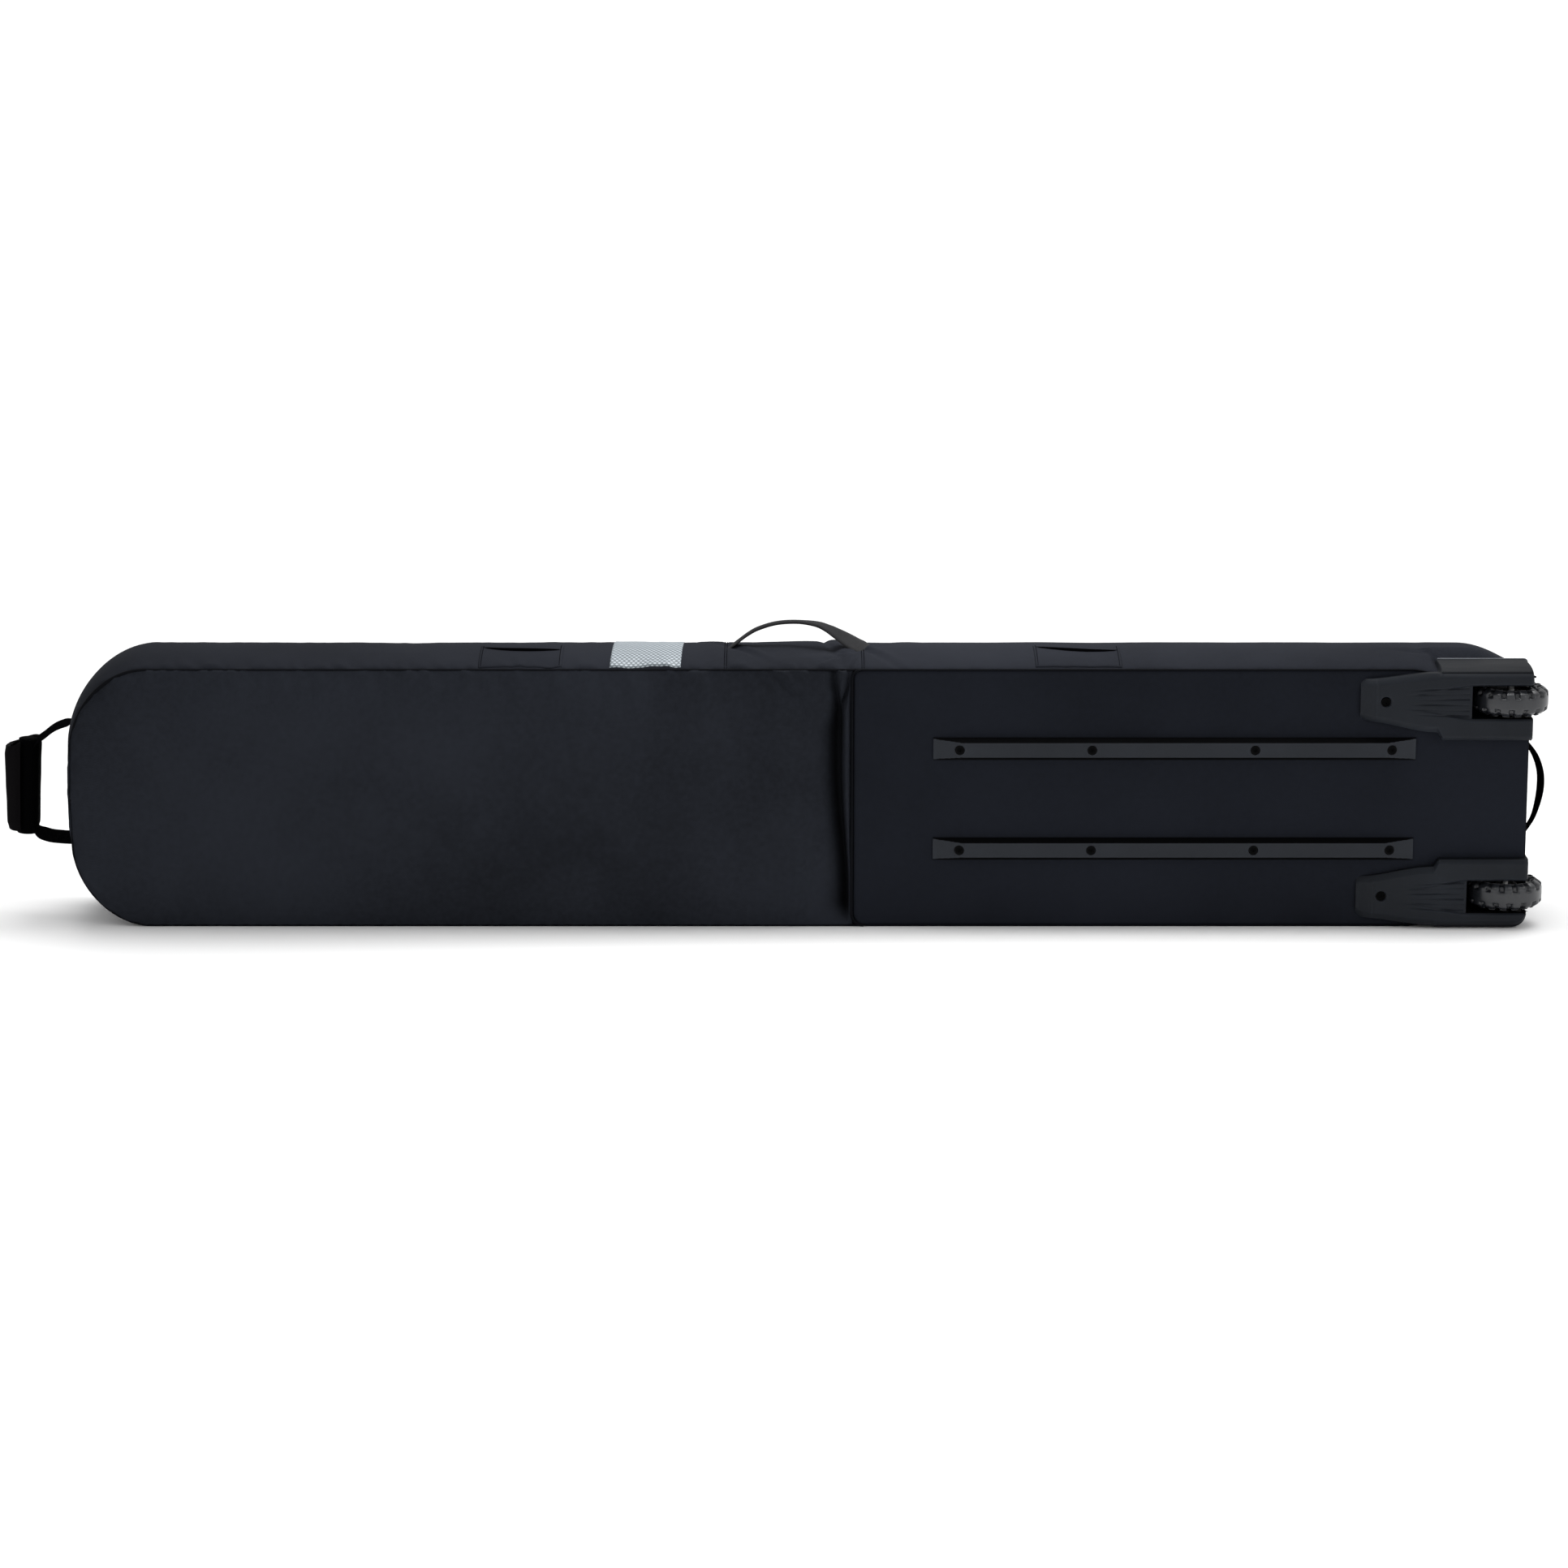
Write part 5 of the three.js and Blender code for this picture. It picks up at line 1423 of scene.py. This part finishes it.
def add_patches():
    add_patch("reflective_band", "reflective_patch", "reflective_print", "reflective",
              -0.2155, -0.1345, BACK_Y - 4 * MM, 0.7 * MM, skew=0.020)
    for name, low, high in SLEEVES_X:
        add_patch(f"sleeve_patch_{name}", f"strap_sleeve_{name}", "gusset_fabric", "gusset",
                  low, high, -3 * MM, 0.9 * MM)
        low, high = low + 3 * MM, high - 3 * MM
        for x in (low, high):
            path = on_gusset(x, np.linspace(PATCH_FRONT_Y + 2 * MM, -5 * MM, 40), 1.3 * MM)
            stitch_row(f"sleeve_stitches_{name}_{int(abs(x) * 1000)}", path, "bag", (0, 0, 1))
        xs = np.linspace(low, high, 44)
        share = np.linspace(0, 1, 44)
        upper_y = -15 * MM - 12 * MM * share
        lower_y = upper_y - 10 * MM * np.sin(math.pi * share) ** 0.7
        rows = np.stack([on_gusset(xs, y, 1.7 * MM) for y in (upper_y, lower_y)], 1)
        # a near-black sheet in the sleeve's mouth: painted shadow
        mouth = grid_object(f"sleeve_mouth_{name}", rows, "shadow")
        thicken(mouth, 0.3 * MM)
        place(mouth, "bag", "gusset_fabric")
    for end, x in zip(("nose", "tail"), GUSSET_SEAMS_X):
        for row, shift in (("a", -1.3 * MM), ("b", 1.3 * MM)):
            path = on_gusset(x + shift, np.linspace(FRONT_Y + 2.5 * MM, 40 * MM, 70), 0.25 * MM)
            stitch_row(f"gusset_seam_{end}_{row}", path, "bag", (0, 0, 1))


# ------------------------------------------------------------------ lid side

RIM = 22 * MM
TAPE_INSET = 22.3 * MM
TAPE_WIDTH = 7.7 * MM
TEETH_INSET = TAPE_INSET + TAPE_WIDTH + 0.3 * MM
LID_INSET = 38.9 * MM
HINGE_Z = 0.2934
HINGE_INSET = TOP_Z - HINGE_Z
TAPE_Y = BACK_Y - 2.6 * MM


def u_shape(inset):
    """The part of a back ring below the hinge line, from the tail, along the bottom, to the nose."""
    outline = ring(inset, HINGE_INSET, back=True)
    below = outline[:, 1] < HINGE_Z - 0.5 * MM
    start = int(np.argmax(~below & np.roll(below, -1))) + 1
    return np.roll(outline, -start, 0)[np.roll(below, -start)]


def edge_stitches(name, line, body):
    """Larger stitches along an edge on the lid side."""
    stitch_row(name, line, body, (0, 1, 0), pitch=4 * MM, length=2.8 * MM)


def add_back_rim():
    rows = []
    inner = ring(RIM, HINGE_INSET - 0.6 * MM, back=True)
    for t in np.linspace(0, 1, 12):
        blend = BACK_SEAM * (1 - t) + inner * t
        crown = SEAM_INSET * quarter_round(t, 0.25)
        fall = 0.9 * MM * smooth(t, 0.86, 1.0)
        ripple = 0.5 * MM * noise_field(on_plane(blend, 0), 26 * MM, seed=15.0) * math.sin(math.pi * t)
        rows.append(on_plane(blend, BACK_Y - SEAM_INSET + crown - fall + ripple))
    obj = grid_object("back_rim_fabric", rows, "gusset", closed=(False, True), flip=True)
    thicken(obj)
    place(obj, "bag", "gusset_fabric", "back_rim", fill=0.3)
    stitched = ring(RIM - 2.5 * MM, HINGE_INSET - 3 * MM, back=True)
    edge_stitches("rim_stitches", on_plane(stitched, BACK_Y + 0.2 * MM), "bag")


def tape_strip(name, inset_low, inset_high, body, node):
    insets = (inset_low, inset_high)
    low, high = (curve_points(on_plane(u_shape(inset), 0)[::4], 400) for inset in insets)
    rows = []
    for t in np.linspace(0, 1, 7):
        row = low * (1 - t) + high * t
        row[:, 1] = TAPE_Y + 0.35 * MM * math.sin(math.pi * t)
        rows.append(row)
    obj = grid_object(name, rows, "tape", flip=True)
    thicken(obj, 1.1 * MM)
    place(obj, body, "zip_tape", node)


def zip_teeth(name, inset, body, lead, pitch=2.6 * MM, reach=2.0 * MM, radius=0.75 * MM):
    """Coil teeth: short rounded bars side by side along the zip; the first is lead pitches in."""
    line = on_plane(u_shape(inset), TAPE_Y + 0.9 * MM)
    lengths = lengths_along(line)
    up = np.array((0.0, 1.0, 0.0))
    teeth = []
    for i in range(int(lengths[-1] / pitch)):
        centre, ahead = (point_at(line, lengths, (i + lead + step) * pitch) for step in (0, 1))
        along = (ahead - centre) / max(np.linalg.norm(ahead - centre), 1e-9)
        across = np.cross(along, up)
        bar = ((-1.0, 0.45), (-0.6, 1.0), (0.6, 1.0), (1.0, 0.45))
        rings = [(centre + across * t * reach, radius * share) for t, share in bar]
        teeth.append((rings, along, up))
    place(capsules_object(name, teeth, "zip"), body, "zip_tape")


def add_lid():
    outline = ring(LID_INSET, HINGE_INSET + 0.5 * MM, back=True)
    start, end = outline[:, 0].min(), outline[:, 0].max()
    quarter = math.pi / 2
    xs = np.concatenate([
        start + 50 * MM * (1 - np.cos(np.linspace(0, quarter, 22))),
        np.linspace(start + 50 * MM, end - 40 * MM, 240)[1:],
        end - 40 * MM * (1 - np.sin(np.linspace(0, quarter, 18)))[1:],
    ])
    xs = np.unique(np.clip(xs, start + 0.2 * MM, end - 0.2 * MM))
    x, z = filled(xs, eased(70, 0.5), outline)
    edge = edge_distance(x, z, outline)
    sample = stacked(x, 0, z)
    rounded = 3.0 * MM * quarter_round(edge, 7 * MM)
    crown = 6 * MM * (1 - np.exp(-edge / (50 * MM)))
    broad = 3.0 * MM * noise_field(sample, 0.19, seed=21.0)
    fine = 1.4 * MM * noise_field(sample, 0.07, seed=23.0)
    billow = (broad + fine) * smooth(edge, 0, 0.05)
    gathers = 0.7 * pucker(x + 0.7 * z + 3.0, edge, -1.0)
    stitched = -1.2 * MM * bump(edge, 9 * MM, 1.5 * MM)
    y = BACK_Y - 3.2 * MM + rounded + crown + billow + gathers + stitched
    obj = grid_object("lid_fabric", stacked(x, y, z), "soft", flip=True)
    settle_cloth(obj, (edge < 12 * MM).ravel())
    thicken(obj, 2.6 * MM)
    place(obj, "lid", "soft_fabric", "lid_panel", fill=0.4)
    inner = ring(LID_INSET + 9 * MM, HINGE_INSET + 9.5 * MM, back=True)
    nearest = [int(np.argmin((x.ravel() - px) ** 2 + (z.ravel() - pz) ** 2)) for px, pz in inner]
    edge_stitches("lid_stitches", on_plane(inner, y.ravel()[nearest] + 0.5 * MM), "lid")


def add_lid_side():
    add_back_rim()
    tape_strip("body_zip_tape", TAPE_INSET - 1.5 * MM, TAPE_INSET + TAPE_WIDTH, "bag", "zip_tape_body")
    lid_tape = TAPE_INSET + TAPE_WIDTH + 0.6 * MM
    tape_strip("lid_zip_tape", lid_tape, lid_tape + TAPE_WIDTH + 2 * MM, "lid", "zip_tape_lid")
    zip_teeth("body_zip_teeth", TEETH_INSET - 1.5 * MM, "bag", 0.25)
    zip_teeth("lid_zip_teeth", TEETH_INSET + 1.5 * MM, "lid", 0.75)
    add_lid()


# ------------------------------------------------------------------ inside straps


INNER_STRAPS_X = (("nose", -0.420), ("tail", 0.430))


def add_inner_straps():
    for name, x in INNER_STRAPS_X:
        low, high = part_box(f"tie_down_strap_{name}")
        z = np.linspace(low.z, high.z, 80)
        path = stacked(x, (low.y + high.y) / 2 + 0.6 * MM * np.sin(z * 60), z)
        obj = ribbon_object(f"inner_strap_{name}", path, 38 * MM, 2.2 * MM, (1, 0, 0), "webbing")
        place(obj, "bag", "webbing", f"tie_down_strap_{name}")


# ------------------------------------------------------------------ kept frame pieces


def dress(names, material, bevel=0.0):
    """Gives kept CAD pieces their finish, and softens their edges."""
    for name in names:
        obj = frame["nodes"][name]
        obj.data.materials.clear()
        obj.data.materials.append(MATERIALS[material])
        if bevel:
            soften(obj, bevel, 2, 30)


def dress_frame():
    both = ("upper", "lower")
    dress([f"rail_screw_{n}_{i}" for n in both for i in range(1, 5)], "screw", 0.3 * MM)
    dress([f"housing_screw_{n}" for n in both], "screw", 0.3 * MM)
    dress([f"wheel_hub_{n}" for n in both], "hub", 0.4 * MM)
    dress([f"axle_{n}" for n in both], "steel")
    dress([f"bearing_{n}_{s}" for n in both for s in ("outer", "inner")], "steel", 0.3 * MM)
    dress([f"rail_backing_strip_{n}" for n in both], "steel")
    dress(["base_board"], "board")
    ends = ("nose", "tail")
    dress([f"tie_down_buckle_{n}" for n in ends], "hub", 0.8 * MM)
    dress([f"zip_slider_{n}" for n in ends] + [f"zip_pull_{n}" for n in ends], "screw", 0.5 * MM)


# ------------------------------------------------------------------ finishing


make_materials()
add_camera()
add_lighting()
add_floor()
add_gusset()
add_soft_panel()
add_base_panel()
add_seams()
add_tail_panel()
for wheel_side in ("upper", "lower"):
    add_housing(wheel_side, wheel_side == "upper")
    add_rail(wheel_side)
    add_screw_recess(f"housing_screw_{wheel_side}", HOUSING_RECESS)
    for number in range(1, 5):
        add_screw_recess(f"rail_screw_{wheel_side}_{number}", RAIL_RECESS)
add_tyre("upper", WHEEL_UPPER_Z, 0.07)
add_tyre("lower", WHEEL_LOWER_Z, 0.19)
add_carry_handle()
add_nose_handle()
add_grip()
add_tail_handle()
add_patches()
add_lid_side()
add_inner_straps()
dress_frame()
